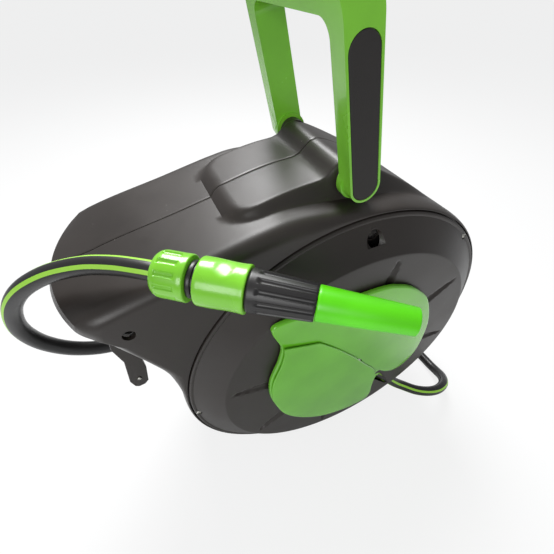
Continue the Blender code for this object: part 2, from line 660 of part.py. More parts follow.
def crank(axis):
    outline = [tuple(p) for p in spline(CRANK_OUTLINE, 2, closed=True)]
    arm = prism("crank_arm", outline, CRANK_BACK, CRANK_FACE, GREEN, axis)
    rounded(arm, 0.0022)
    half = SPINDLE_SQUARE / 2 + GAP
    square = [(-half, -half), (half, -half), (half, half), (-half, half)]
    window_length, window_width = GRIP_LENGTH + 2 * RUNNING, GRIP_WIDTH + 2 * RUNNING
    window = [(-window_length / 2, -window_width / 2), (window_length / 2, -window_width / 2),
              (window_length / 2, window_width / 2), (-window_length / 2, window_width / 2)]
    middle = (*GRIP_MIDDLE, 0)
    turn = (0, 0, GRIP_ANGLE)
    pin_seat = prism("crank_pin_seat", circle(GRIP_PIN + GAP, 12), -PIN_HALF - GAP, PIN_HALF + GAP, GREEN, GRIP,
                     rotation=(pi / 2, 0, 0))
    cut(arm, prism("crank_hub_hole", square, CRANK_BACK - 0.01, CRANK_FACE + 0.01, GREEN, axis),
        turned("crank_screw_seat", rod_profile(0.0092, CRANK_FACE - 0.0022, CRANK_FACE + 0.01), GREEN, axis),
        prism("crank_window", window, CRANK_BACK - 0.01, CRANK_FACE + 0.01, GREEN, axis, middle, turn), pin_seat)
    screw = [(0, CRANK_FACE - 0.0002), (0.0088, CRANK_FACE - 0.0002), (0.0088, CRANK_FACE - 0.0019),
             (0.0028, CRANK_FACE - 0.0019), (0.0028, 0.098), (0, 0.098)]
    turned("crank_screw", screw, STEEL, axis, steps=STEPS_MEDIUM // 2)
    plate = prism("crank_cover", crank_plate_outline(), CRANK_FACE + GAP, CRANK_FACE + GAP + CRANK_PLATE, GREEN, axis)
    rounded(plate, 0.0010)


def crank_plate_outline():
    """The lower front of the crank's outline, drawn in, and closed along the plate's arc."""
    left = [p for p in spline(CRANK_OUTLINE, 2, closed=True)]
    first = next(i for i, p in enumerate(left) if p.y < 0.088)
    last = next(i for i, p in enumerate(left) if p.x > 0.0415 and p.y > -0.064)
    edge = inset(left[first:last], 0.0012)
    arc = spline(PLATE_ARC, 2)
    return [tuple(p) for p in edge + arc]


def inset(points, distance):
    """The points of a counter-clockwise stretch moved to its left."""
    moved = []
    for i, point in enumerate(points):
        along = (points[min(i + 1, len(points) - 1)] - points[max(i - 1, 0)]).normalized()
        moved.append(point + Vector((-along.y, along.x)) * distance)
    return moved


def crank_grip():
    """A flat grip that lies in the crank's window and swings out about a pin through its end."""
    half = GRIP_THICKNESS / 2
    side = [(x + GRIP_LENGTH / 2 - half, y) for x, y in stadium(GRIP_LENGTH, GRIP_THICKNESS)]
    grip = prism("crank_grip", side, -GRIP_WIDTH / 2, GRIP_WIDTH / 2, BLACK_PLASTIC, GRIP, rotation=(pi / 2, 0, 0))
    cut(grip, prism("grip_bore", circle(GRIP_PIN + GAP, 12), -0.02, 0.02, BLACK_PLASTIC, GRIP,
                    rotation=(pi / 2, 0, 0)))
    prism("crank_grip_pin", circle(GRIP_PIN, 12), -PIN_HALF, PIN_HALF, STEEL, GRIP, rotation=(pi / 2, 0, 0))


# ---------------------------------------------------------------- handle

def rounded_u(outer, inner, top, bar, bottom, outer_round, inner_round):
    """An upturned U, counter-clockwise: arms down to `bottom`, bar of height `bar` under `top`."""
    points = [(outer, bottom)]
    points += [(outer - outer_round + outer_round * cos(a), top - outer_round + outer_round * sin(a))
               for a in arc_angles(0, pi / 2, 5)]
    points += [(-outer + outer_round + outer_round * cos(a), top - outer_round + outer_round * sin(a))
               for a in arc_angles(pi / 2, pi, 5)]
    points += [(-outer, bottom), (-inner, bottom)]
    under = top - bar
    points += [(-inner + inner_round + inner_round * cos(a), under - inner_round + inner_round * sin(a))
               for a in arc_angles(pi, pi / 2, 4)]
    points += [(inner - inner_round + inner_round * cos(a), under - inner_round + inner_round * sin(a))
               for a in arc_angles(pi / 2, 0, 4)]
    points.append((inner, bottom))
    return points


def arm_outline(half, top, corner):
    """Seen along the pivot: a round foot about it and rounded top corners, counter-clockwise."""
    foot = [(half * cos(a), half * sin(a)) for a in arc_angles(pi, 2 * pi, 10)]
    right = [(half - corner + corner * cos(a), top - corner + corner * sin(a)) for a in arc_angles(0, pi / 2, 4)]
    left = [(-half + corner + corner * cos(a), top - corner + corner * sin(a)) for a in arc_angles(pi / 2, pi, 4)]
    return foot + right + left


def handle(axis, root_near, root_far):
    across = (pi / 2, 0, pi / 2)
    along = (pi / 2, 0, 0)
    depth = HANDLE_DEPTH / 2
    u_shape = rounded_u(HANDLE_HALF_WIDTH, ARM_FACE, HANDLE_REACH, HANDLE_BAR, -0.020, 0.026, 0.012)
    frame = prism("handle_frame", u_shape, -depth, depth, GREEN, axis, rotation=across)
    shape = prism("handle_side", arm_outline(depth, HANDLE_REACH, 0.008), -0.1, 0.1, GREEN, axis, rotation=along)
    combine(frame, "INTERSECT", [shape])
    insert_half = INSERT_WIDTH / 2
    insert_top = HANDLE_REACH - 0.030
    recess_face = HANDLE_HALF_WIDTH - INSERT_RECESS
    unite(frame, *[turned("handle_boss_" + side, rod_profile(0.0155, ARM_BOSS_FACE, ARM_FACE + 0.004), GREEN, axis,
                          rotation=(sign * pi / 2, 0, 0)) for side, sign in (("near", 1), ("far", -1))])
    cutters = []
    for side, sign in (("near", 1), ("far", -1)):
        turn = (sign * pi / 2, 0, 0)
        bore = turned("handle_bore_" + side, rod_profile(PIVOT_PIN + GAP, ARM_BOSS_FACE - 0.01, PIN_TIP + GAP), GREEN,
                      axis, rotation=turn, steps=STEPS_SMALL)
        shape = arm_outline(insert_half + GAP, insert_top + GAP, insert_half)
        shape = [(x, sign * y) for x, y in (shape if sign > 0 else reversed(shape))]
        recess = prism("handle_recess_" + side, shape, recess_face, HANDLE_HALF_WIDTH + 0.01, GREEN, axis,
                       rotation=turn)
        cutters += [bore, recess]
        shape = arm_outline(insert_half, insert_top, insert_half)
        shape = [(x, sign * y) for x, y in (shape if sign > 0 else reversed(shape))]
        prism("handle_insert_" + side, shape, recess_face + GAP, HANDLE_HALF_WIDTH + 0.0002, SOFT_BLACK, axis,
              rotation=turn)
    pad = stadium(0.094, 0.019)
    cut(frame, *cutters, prism("handle_pad_recess", [(y, -x) for x, y in stadium(0.0946, 0.0196)],
                               HANDLE_REACH - 0.002, HANDLE_REACH + 0.01, GREEN, axis))
    prism("handle_pad", [(y, -x) for x, y in pad], HANDLE_REACH - 0.002 + GAP, HANDLE_REACH + 0.0008, SOFT_BLACK, axis)
    for side, parent, flip in (("near", root_near, 1), ("far", root_far, -1)):
        pin = [(0, PIN_TIP), (PIVOT_PIN, PIN_TIP), (PIVOT_PIN, BOSS_BACK - GAP), (0.0070, BOSS_BACK - GAP),
               (0.0070, BOSS_BACK - 0.0030), (0, BOSS_BACK - 0.0030)]
        turned("handle_pin_" + side, pin, STEEL, parent, (flip * HANDLE_PIVOT[0], HANDLE_PIVOT[1], 0),
               steps=STEPS_SMALL)


# ---------------------------------------------------------------- hose guide

def under_top_line(x):
    """Height of the underside of the nose's top skin, in the side outline."""
    for (x0, z0), (x1, z1) in zip(TOP_LINE, TOP_LINE[1:]):
        if x1 <= x <= x0:
            return lerp(z0, z1, (x - x0) / (x1 - x0)) - GUIDE_DROP
    return TOP_LINE[-1][1] - GUIDE_DROP


def hose_guide(near, look):
    right, left = GUIDE_OUTLINE[-1][0], TOP_LINE[-1][0] + 0.0004
    top = [(right, under_top_line(right)), (left, under_top_line(left)), (left - 0.003, under_top_line(left) - 0.012)]
    cheek = GUIDE_OUTLINE + top
    inner = GUIDE_HALF_WIDTH - GUIDE_CHEEK
    guide = prism("hose_guide", cheek, inner, GUIDE_HALF_WIDTH, look, near)
    other = prism("guide_far_cheek", cheek, -GUIDE_HALF_WIDTH, -inner, look, near)
    bridge = [(right, under_top_line(right) - 0.0035), (right, under_top_line(right)), (left, under_top_line(left)),
              (left, under_top_line(left) - 0.0035)]
    unite(guide, prism("guide_bridge", bridge, -GUIDE_HALF_WIDTH + 0.001, GUIDE_HALF_WIDTH - 0.001, look, near), other)
    holes = []
    for name, (x, z) in ROLLER_PLACES.items():
        reach = GUIDE_HALF_WIDTH + 0.0012
        holes.append(turned(name + "_hole", rod_profile(ROLLER_PIN + GAP, -0.06, 0.06), look, near, (x, z, 0),
                            steps=12))
        roller = inner - GAP
        profile = [(ROLLER_RADIUS, roller), (ROLLER_RADIUS - 0.0006, 0), (ROLLER_RADIUS, -roller),
                   (ROLLER_PIN + GAP, -roller), (ROLLER_PIN + GAP, roller)]
        turned(name, profile, GREY_PLASTIC, near, (x, z, 0), steps=STEPS_SMALL)
        turned(name + "_pin", rod_profile(ROLLER_PIN, -reach, reach), STEEL, near, (x, z, 0), steps=12)
    cut(guide, *holes)


# ---------------------------------------------------------------- base and feet

def base(near):
    top = HOOD_RADIUS + GAP
    sole = -AXLE_HEIGHT + FOOT_HEIGHT

    def under_hood(x, drop=0.0):
        return -((top + drop) ** 2 - x ** 2) ** 0.5

    length = BASE_HALF_LENGTH
    arc = [(x, under_hood(x)) for x in [lerp(length, -length, i / 12) for i in range(13)]]
    frame = prism("base_frame", [(-length, sole), (length, sole)] + arc, -BASE_HALF_WIDTH, BASE_HALF_WIDTH,
                  BODY_BLACK, near)
    pockets = []
    for i, sign in enumerate((-1, 1)):
        for k, (low, high) in enumerate(((-0.043, -0.0025), (0.0025, 0.043))):
            ends = sorted((sign * 0.036, sign * 0.066))
            roof = [(x, under_hood(x, BASE_SOLE)) for x in [lerp(ends[1], ends[0], j / 3) for j in range(4)]]
            pockets.append(prism(f"base_pocket_{i}{k}", [(ends[0], sole - 0.01), (ends[1], sole - 0.01)] + roof,
                                 low, high, BODY_BLACK, near))
    cut(frame, *pockets)
    for name, x, y in (("foot_front_near", -1, 1), ("foot_front_far", -1, -1), ("foot_rear_near", 1, 1),
                       ("foot_rear_far", 1, -1)):
        profile = [(0, FOOT_HEIGHT - GAP), (FOOT_RADIUS, FOOT_HEIGHT - GAP), (FOOT_RADIUS, 0.0012),
                   (FOOT_RADIUS - 0.0012, 0), (0, 0)]
        place_x = x * (BASE_HALF_LENGTH - FOOT_RADIUS - 0.001)
        place_y = -y * (BASE_HALF_WIDTH - FOOT_RADIUS - 0.001)
        turned(name, profile, RUBBER, ROOT, (place_x, place_y, 0), steps=24)


# ---------------------------------------------------------------- hose end and tap end

def fluted_ring(name, radius, flutes, depth, low, high, bore, look, parent):
    outline = []
    for i in range(flutes):
        start = 2 * pi * i / flutes
        width = 2 * pi / flutes
        for share, r in ((0.0, radius), (0.30, radius), (0.60, radius), (0.68, radius - depth), (0.92, radius - depth)):
            a = start + share * width
            outline.append((r * cos(a), r * sin(a)))
    ring = prism(name, outline, low, high, look, parent)
    cut(ring, turned(name + "_bore", rod_profile(bore, low - 0.01, high + 0.01), look, parent))
    return ring


def connector(prefix, axis, slider):
    """A hose nut, a body that the hose is clamped on, and a sliding green sleeve."""
    nut_bore = 0.0096
    nut = fluted_ring(prefix + "_nut", NUT_RADIUS, NUT_FLUTES, 0.0012, NUT_BACK + 0.0012, NUT_FRONT, nut_bore,
                      GREEN_FITTING, axis)
    lip = [(NUT_RADIUS - 0.0020, NUT_BACK + 0.0022), (NUT_RADIUS - 0.0032, NUT_BACK),
           (HOSE_RADIUS + GAP, NUT_BACK), (HOSE_RADIUS + GAP, NUT_BACK + 0.0022)]
    unite(nut, turned(prefix + "_nut_lip", lip, GREEN_FITTING, axis))
    tail = NUT_BACK + 0.0024
    body = [(BODY_RADIUS, NUT_FRONT + GAP + 0.012), (BODY_RADIUS, NUT_FRONT + GAP), (0.0092, NUT_FRONT + GAP),
            (0.0090, tail + 0.002), (0.0060, tail), (0.0040, tail), (0.0040, 0.0305),
            (SOCKET_RADIUS, 0.0305), (SOCKET_RADIUS, 0.0420), (0.0102, 0.0420), (0.0106, 0.0230)]
    turned(prefix + "_body", body, BLACK_PLASTIC, axis)
    inner = BODY_RADIUS + RUNNING
    sleeve = [(SLEEVE_RADIUS - 0.0008, SLEEVE_FRONT), (SLEEVE_RADIUS - 0.0003, SLEEVE_FRONT - 0.0012),
              (SLEEVE_RADIUS - 0.0009, SLEEVE_FRONT - 0.008), (SLEEVE_RADIUS - 0.0012, 0.0330),
              (SLEEVE_RADIUS, 0.0240), (SLEEVE_RADIUS, SLEEVE_BACK + 0.0010),
              (SLEEVE_RADIUS - 0.0010, SLEEVE_BACK), (inner, SLEEVE_BACK), (inner, 0.0278), (0.0110, 0.0278),
              (0.0110, 0.0425), (0.0130, 0.0440), (0.0130, SLEEVE_FRONT)]
    turned(prefix + "_sleeve", sleeve, GREEN_FITTING, slider)


def nozzle(axis, tip_axis):
    """A stem that plugs into the connector, a ribbed barrel fixed on it and a twisting tip."""
    back = SLEEVE_FRONT + GAP
    stem = [(STEM_RADIUS, 0.1180), (STEM_RADIUS, 0.0374), (STEM_RADIUS - 0.0012, 0.0374),
            (STEM_RADIUS - 0.0012, 0.0352), (STEM_RADIUS, 0.0352), (STEM_RADIUS, 0.0312), (0.0036, 0.0312),
            (0.0036, 0.1180)]
    turned("nozzle_stem", stem, BLACK_PLASTIC, axis, steps=24)
    seal = [(SOCKET_RADIUS - 0.00015, 0.0368), (SOCKET_RADIUS - 0.00015, 0.0358), (0.0056, 0.0355), (0.0056, 0.0371)]
    turned("nozzle_seal", seal, RUBBER, axis, steps=24)
    start, end = 0.01495, 0.01262
    barrel = ribbed_barrel("nozzle_barrel", start, end, back, BARREL_FRONT, BLACK_PLASTIC, axis)
    cut(barrel, turned("nozzle_barrel_bore", rod_profile(STEM_RADIUS + GAP, 0.04, 0.1), BLACK_PLASTIC, axis, steps=24))
    low = BARREL_FRONT + RUNNING
    tip = [(0.0086, TIP_FRONT), (0.0090, TIP_FRONT - 0.0010), (0.0105, 0.1250), (0.0119, low + 0.0008),
           (0.0112, low), (STEM_RADIUS + RUNNING, low), (STEM_RADIUS + RUNNING, 0.1300), (0.0030, 0.1380),
           (0.0030, TIP_FRONT - 0.0060), (0.0048, TIP_FRONT)]
    turned("nozzle_tip", tip, NEON_GREEN, tip_axis)


def ribbed_barrel(name, start, end, low, high, look, parent):
    """Lengthwise ribs on a taper: one outline scaled from the back ring to the front ring."""
    def ring(radius, z):
        points = []
        for i in range(BARREL_RIBS):
            for share, r in ((0.0, radius), (0.42, radius), (0.56, radius - 0.0013), (0.86, radius - 0.0013)):
                a = 2 * pi * (i + share) / BARREL_RIBS
                points.append((r * cos(a), r * sin(a), z))
        return points

    rings = [ring(start - 0.0008, low), ring(start, low + 0.0008), ring(end, high - 0.0008), ring(end - 0.0008, high)]
    count = BARREL_RIBS * 4
    points = [p for r in rings for p in r]
    faces = [tuple(reversed(range(count))), tuple(range(3 * count, 4 * count))]
    for k in range(3):
        for i in range(count):
            n = (i + 1) % count
            faces.append((k * count + i, k * count + n, (k + 1) * count + n, (k + 1) * count + i))
    return mesh_object(name, points, faces, look, parent)


# ---------------------------------------------------------------- hoses

def tube(name, route, parent, spacing=2.0):
    """A round hose along a smooth curve through the route's points."""
    fine = spline(route, 24)
    lengths = [0.0]
    for a, b in zip(fine, fine[1:]):
        lengths.append(lengths[-1] + (b - a).length)
    count = ceil(lengths[-1] / (spacing * 2 * HOSE_RADIUS))
    points, k = [], 0
    for i in range(count + 1):
        want = lengths[-1] * i / count
        while k < len(lengths) - 2 and lengths[k + 1] < want:
            k += 1
        share = (want - lengths[k]) / (lengths[k + 1] - lengths[k])
        points.append(fine[k].lerp(fine[k + 1], share))
    curve = bpy.data.curves.new(name, "CURVE")
    curve.dimensions = "3D"
    curve.bevel_depth = HOSE_RADIUS
    curve.bevel_resolution = 3
    curve.use_fill_caps = True
    line = curve.splines.new("POLY")
    line.points.add(len(points) - 1)
    for target, point in zip(line.points, points):
        target.co = (*point, 1.0)
    curve.materials.append(HOSE_BLACK)
    return place(name, curve, parent)


def free_hose_route():
    along = Vector(HOSE_END_DIRECTION).normalized()
    start = Vector(HOSE_END) + along * (NUT_BACK + 0.0016)
    chosen = [start - along * 0.012, (-0.2010, -0.0610, 0.3872), (-0.2220, -0.0480, 0.3838), (-0.2480, -0.0360, 0.3755),
              (-0.2730, -0.0260, 0.3600), (-0.2910, -0.0170, 0.3370), (-0.3000, -0.0100, 0.3080),
              (-0.2960, -0.0050, 0.2790), (-0.2800, -0.0020, 0.2550), (-0.2560, -0.0005, 0.2400),
              (-0.2270, 0.0000, 0.2350), (-0.2050, -0.0010, 0.2375), (-0.1780, -0.0030, 0.2475),
              (-0.1500, -0.0060, 0.2640), (-0.1224, -0.0090, 0.2830)]
    return [start] + chosen


def leader_route():
    neck = Vector((NECK_END[0] * cos(INLET_ANGLE), -NECK_END[1], AXLE_HEIGHT + NECK_END[0] * sin(INLET_ANGLE)))
    along = Vector((cos(INLET_ANGLE), -0.078, sin(INLET_ANGLE))).normalized()
    start = neck + along * 2 * GAP
    chosen = [neck + along * 0.012, (0.0790, -0.0933, 0.0930), (0.0880, -0.0950, 0.0815), (0.0969, -0.0965, 0.0704),
              (0.1085, -0.1005, 0.0587), (0.1200, -0.1070, 0.0519), (0.1363, -0.1193, 0.0466),
              (0.1535, -0.1281, 0.0438), (0.1704, -0.1314, 0.0408), (0.1860, -0.1291, 0.0369),
              (0.1993, -0.1222, 0.0306), (0.2098, -0.1104, 0.0219), (0.2150, -0.0965, 0.0135),
              (0.2168, -0.0818, 0.0088), (0.2168, -0.0640, 0.0075), (0.2140, -0.0300, 0.0075),
              (0.2070, 0.0150, 0.0075), (0.1990, 0.0600, 0.0075), (0.1910, 0.1150, 0.0075),
              (0.1850, 0.1600, 0.0075), (0.1798, 0.1930, 0.0075)]
    return [start] + chosen


def tail_route():
    x, y, z = TAP_END
    end = (x - NUT_BACK - 0.0016, y, z)
    return [(0.0585, 0.3075, 0.0367), (0.0440, 0.3078, 0.0345), (0.0290, 0.3072, 0.0272), (0.0160, 0.3062, 0.0200),
            (0.0060, y, z + 0.0004), (end[0] + 0.014, y, z), end]


def leader_coil():
    low = FLOOR_CLEARANCE
    high = low + COIL_TURNS * 2 * HOSE_RADIUS
    profile = tube_profile(COIL_RADIUS + HOSE_RADIUS, COIL_RADIUS - HOSE_RADIUS, low, high)
    turned("leader_coil", profile, HOSE_BLACK, ROOT, (*COIL_CENTRE, 0), steps=STEPS_LARGE)


# ---------------------------------------------------------------- assembly

for old in list(bpy.data.objects):
    bpy.data.objects.remove(old, do_unlink=True)

BODY_BLACK = material("body black", (0.052, 0.047, 0.044), 0.52)
BLACK_PLASTIC = material("black plastic", (0.030, 0.028, 0.028), 0.45)
SOFT_BLACK = material("soft black", (0.022, 0.019, 0.018), 0.80)
GREY_PLASTIC = material("grey plastic", (0.080, 0.080, 0.082), 0.55)
WHITE_PLASTIC = material("white plastic", (0.70, 0.70, 0.68), 0.45)
GREEN = material("crank green", (0.17, 0.46, 0.045), 0.18)
GREEN_FITTING = material("fitting green", (0.22, 0.66, 0.022), 0.32)
NEON_GREEN = material("tip green", (0.13, 0.72, 0.004), 0.30)
HOSE_BLACK = material("hose black", (0.020, 0.020, 0.020), 0.42)
RUBBER = material("rubber", (0.018, 0.018, 0.018), 0.85)
STEEL = material("zinc steel", (0.62, 0.62, 0.60), 0.35, 1.0)

ROOT = place("cart", None, None, (-MIDDLE[0], -MIDDLE[1], 0))
AXLE = (0, 0, AXLE_HEIGHT)
NEAR = place("near_side", None, ROOT, AXLE, (pi / 2, 0, 0))
FAR = place("far_side", None, ROOT, AXLE, (pi / 2, 0, pi))
DRUM = place("drum_axis", None, ROOT, AXLE, (pi / 2, 0, 0))
HANDLE = place("handle_axis", None, ROOT, (HANDLE_PIVOT[0], 0, AXLE_HEIGHT + HANDLE_PIVOT[1]), (0, -HANDLE_LEAN, 0))

GRIP_REACH = GRIP_LENGTH / 2 - GRIP_THICKNESS / 2
GRIP_PIVOT = (GRIP_MIDDLE[0] + GRIP_REACH * cos(GRIP_ANGLE), GRIP_MIDDLE[1] + GRIP_REACH * sin(GRIP_ANGLE),
              CRANK_BACK + 0.0004 + GRIP_THICKNESS / 2)
GRIP = place("grip_axis", None, DRUM, GRIP_PIVOT, (0, 0, GRIP_ANGLE + pi))

HOSE_TURN = Vector(HOSE_END_DIRECTION).to_track_quat("Z", "Y").to_euler()
HOSE_AXIS = place("hose_end_axis", None, ROOT, HOSE_END, HOSE_TURN)
TAP_AXIS = place("tap_end_axis", None, ROOT, TAP_END, (0, -pi / 2, 0))

near_bores, far_bores = nose_bores(NEAR, FAR, BODY_BLACK)
hood_half("hood_near", NEAR, 1, BODY_BLACK, near_bores + [hood_recess(BODY_BLACK, NEAR)])
hood_half("hood_far", FAR, -1, BODY_BLACK, far_bores)
nose_screw(NEAR)
side_cover("cover_near", NEAR, 1, BODY_BLACK, inlet_recess)
side_cover("cover_far", FAR, -1, BODY_BLACK)
cover_screws("near", NEAR, 1)
cover_screws("far", FAR, -1)
water_inlet(NEAR)
drum(DRUM)
crank(DRUM)
crank_grip()
handle(HANDLE, NEAR, FAR)
hose_guide(NEAR, BODY_BLACK)
base(NEAR)
connector("hose", HOSE_AXIS, HOSE_AXIS)
nozzle(HOSE_AXIS, HOSE_AXIS)
connector("tap", TAP_AXIS, TAP_AXIS)
tube("free_hose", free_hose_route(), ROOT)
tube("leader_hose", leader_route(), ROOT)
tube("leader_tail", tail_route(), ROOT, spacing=1.0)
leader_coil()
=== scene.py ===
"""Garden hose reel cart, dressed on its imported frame: lamps, hoses, housing, crank, handle, nozzle."""
from math import atan2, cos, hypot, pi, radians, sin

import bpy
from mathutils import Matrix, Vector


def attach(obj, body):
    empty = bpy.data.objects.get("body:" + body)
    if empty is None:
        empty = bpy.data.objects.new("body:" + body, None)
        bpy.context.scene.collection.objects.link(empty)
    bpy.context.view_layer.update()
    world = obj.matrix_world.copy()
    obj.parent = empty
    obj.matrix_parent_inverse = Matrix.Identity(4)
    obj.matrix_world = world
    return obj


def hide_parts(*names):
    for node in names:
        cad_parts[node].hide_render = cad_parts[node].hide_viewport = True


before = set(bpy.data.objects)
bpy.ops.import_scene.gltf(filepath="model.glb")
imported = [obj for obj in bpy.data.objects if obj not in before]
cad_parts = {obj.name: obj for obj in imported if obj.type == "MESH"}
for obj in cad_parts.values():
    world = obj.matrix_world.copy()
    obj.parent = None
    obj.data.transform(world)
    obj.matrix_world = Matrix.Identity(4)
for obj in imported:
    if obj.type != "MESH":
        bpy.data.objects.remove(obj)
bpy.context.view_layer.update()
bpy.ops.object.select_all(action="DESELECT")


# ---- Studio
# A pale floor that keeps the cart's shadow, one broad soft lamp overhead, a weaker one from
# the crank's side, and a white surround. The camera looks down on the nose and the crank.

camera = bpy.data.objects.new("camera", bpy.data.cameras.new("camera"))
bpy.context.scene.collection.objects.link(camera)
camera.location = (-0.1314, -0.2585, 0.5417)
camera.rotation_euler = (radians(45.98), 0, radians(-24.02))
camera.data.lens = 21.64
camera.data.sensor_width = 36
camera.data.clip_start = 0.01
bpy.context.scene.camera = camera
bpy.context.scene.view_settings.view_transform = "Standard"


def soft_lamp(name, place, aim, size, watts):
    lamp = bpy.data.objects.new(name, bpy.data.lights.new(name, "AREA"))
    bpy.context.scene.collection.objects.link(lamp)
    lamp.location = place
    lamp.rotation_euler = (Vector(aim) - Vector(place)).to_track_quat("-Z", "Y").to_euler()
    lamp.data.shape = "SQUARE"
    lamp.data.size = size
    lamp.data.energy = watts
    return lamp


soft_lamp("overhead_lamp", (0.15, 0.80, 1.45), (0.0, 0.0, 0.25), 0.7, 30)
soft_lamp("side_lamp", (-1.0, -1.0, 0.95), (0.0, 0.0, 0.2), 0.7, 9)


def feed(tree, node, given):
    """Fills a node's inputs, by name or number, with values or other nodes' outputs."""
    for key, value in given.items():
        if isinstance(value, bpy.types.NodeSocket):
            tree.links.new(value, node.inputs[key])
        else:
            node.inputs[key].default_value = value
    return node


def added(tree, kind, given):
    return feed(tree, tree.nodes.new("ShaderNode" + kind), given)


world = bpy.data.worlds.new("surround")
bpy.context.scene.world = world
world.use_nodes = True
tree = world.node_tree
surround = feed(tree, tree.nodes["Background"], {"Color": (0.94, 0.97, 1.0, 1), "Strength": 0.36})
white = added(tree, "Background", {"Color": (1, 1, 1, 1)})
seen = added(tree, "LightPath", {})
either = added(tree, "MixShader", {"Fac": seen.outputs["Is Camera Ray"], 1: surround.outputs["Background"],
                                   2: white.outputs["Background"]})
feed(tree, tree.nodes["World Output"], {"Surface": either.outputs["Shader"]})

bpy.ops.mesh.primitive_plane_add(size=30)
floor = bpy.context.object
floor.name = "floor"
floor_look = bpy.data.materials.new("pale floor")
floor_look.use_nodes = True
tree = floor_look.node_tree
paint = feed(tree, tree.nodes["Principled BSDF"], {"Base Color": (0.86, 0.86, 0.86, 1), "Roughness": 0.9})
glow = added(tree, "Emission", {})
path = added(tree, "LightPath", {})
share = added(tree, "Math", {0: path.outputs["Is Camera Ray"], 1: 0.80})
share.operation = "MULTIPLY"
blend = added(tree, "MixShader", {"Fac": share.outputs["Value"], 1: paint.outputs["BSDF"],
                                  2: glow.outputs["Emission"]})
feed(tree, tree.nodes["Material Output"], {"Surface": blend.outputs["Shader"]})
floor.data.materials.append(floor_look)


# ---- Hoses
# Half-inch hose of black soft PVC with two lime stripes moulded in, 14.5 mm across. One piece
# runs from the drum over the guide's lower roller, round in front of the nose, to the nozzle;
# the other feeds the drum from a tap and ends in three spare turns and a snap connector.

HOSE = 0.0145
AXLE = Vector((0.0360, 0.0051, 0.2))


def cart(x, y, z):
    """A place given from the foot of the axle's middle, in the frame's coordinates."""
    return Vector((x + AXLE.x, y + AXLE.y, z))


def smooth_line(points, step=0.003):
    """Catmull-Rom points through the given ones, about a step apart."""
    given = [Vector(p) for p in points]
    last = len(given) - 1
    made = []
    for i in range(last):
        before, start, end, after = given[max(i - 1, 0)], given[i], given[i + 1], given[min(i + 2, last)]
        parts = max(2, round((end - start).length / step))
        for k in range(parts):
            t = k / parts
            curve = (2 * before - 5 * start + 4 * end - after) * t * t
            made.append(0.5 * (2 * start + (end - before) * t + curve
                               + (3 * start - before - 3 * end + after) * t ** 3))
    return made + [given[-1]]


def started(name, primitive, **sizes):
    """A new primitive under its name, with nothing else selected."""
    bpy.ops.object.select_all(action="DESELECT")
    primitive(**sizes)
    piece = bpy.context.object
    piece.name = piece.data.name = name
    return piece


def hose_tube(name, line, up, around=28):
    """A round tube along a line; its UV map runs along it in metres and once round it from `up`."""
    tube = started(name, bpy.ops.mesh.primitive_grid_add, x_subdivisions=around,
                   y_subdivisions=len(line) - 1, size=1)
    side = Vector(up)
    run = 0.0
    lengths = []
    for row, point in enumerate(line):
        along = (line[min(row + 1, len(line) - 1)] - line[max(row - 1, 0)]).normalized()
        side = (side - along * side.dot(along)).normalized()
        across = along.cross(side)
        run += (point - line[row - 1]).length if row else 0.0
        lengths.append(run)
        for k in range(around + 1):
            a = 2 * pi * k / around
            vertex = tube.data.vertices[row * (around + 1) + k]
            vertex.co = point + (side * cos(a) + across * sin(a)) * HOSE / 2
    uv = tube.data.uv_layers.active
    for loop in tube.data.loops:
        row, k = divmod(loop.vertex_index, around + 1)
        uv.data[loop.index].uv = (lengths[row], k / around)
    bpy.ops.object.mode_set(mode="EDIT")
    bpy.ops.mesh.select_all(action="SELECT")
    bpy.ops.mesh.remove_doubles(threshold=0.00001)
    bpy.ops.mesh.select_all(action="DESELECT")
    bpy.ops.mesh.select_non_manifold()
    bpy.ops.mesh.edge_face_add()
    bpy.ops.mesh.select_all(action="SELECT")
    bpy.ops.mesh.normals_make_consistent(inside=False)
    bpy.ops.object.mode_set(mode="OBJECT")
    bpy.ops.object.shade_smooth_by_angle(angle=radians(40))
    return tube, lengths[-1]


HOSE_BLACK, HOSE_LIME = (0.014, 0.013, 0.013, 1), (0.36, 0.72, 0.06, 1)
STRIPES, STRIPE_HALF = (0.205, 0.435), 0.034


def hose_look():
    """Black with two lime stripes along it, a little worn, over a faint braid."""
    look = bpy.data.materials.new("striped hose")
    look.use_nodes = True
    tree = look.node_tree
    uv = added(tree, "UVMap", {})
    split = added(tree, "SeparateXYZ", {"Vector": uv.outputs["UV"]})
    stripes = added(tree, "ValToRGB", {"Fac": split.outputs["Y"]})
    stripes.color_ramp.interpolation = "LINEAR"
    ramp = stripes.color_ramp.elements
    ramp[0].position, ramp[0].color = 0.0, HOSE_BLACK
    ramp[1].position, ramp[1].color = 1.0, HOSE_BLACK
    for middle in STRIPES:
        for off, tone in ((-STRIPE_HALF - 0.004, HOSE_BLACK), (-STRIPE_HALF, HOSE_LIME),
                          (STRIPE_HALF, HOSE_LIME), (STRIPE_HALF + 0.004, HOSE_BLACK)):
            ramp.new(middle + off).color = tone
    place = added(tree, "TexCoord", {}).outputs["Object"]
    scuff = added(tree, "TexNoise", {"Vector": place, "Scale": 55, "Detail": 4})
    wear = added(tree, "MapRange", {"Value": scuff.outputs["Fac"], "To Min": 0.30, "To Max": 0.52})
    braid = added(tree, "TexNoise", {"Vector": place, "Scale": 900})
    bump = added(tree, "Bump", {"Height": braid.outputs["Fac"], "Strength": 0.12, "Distance": 0.0004})
    feed(tree, tree.nodes["Principled BSDF"], {
        "Base Color": stripes.outputs["Color"], "Roughness": wear.outputs["Result"],
        "Normal": bump.outputs["Normal"], "Coat Weight": 0.15, "Coat Roughness": 0.25})
    return look


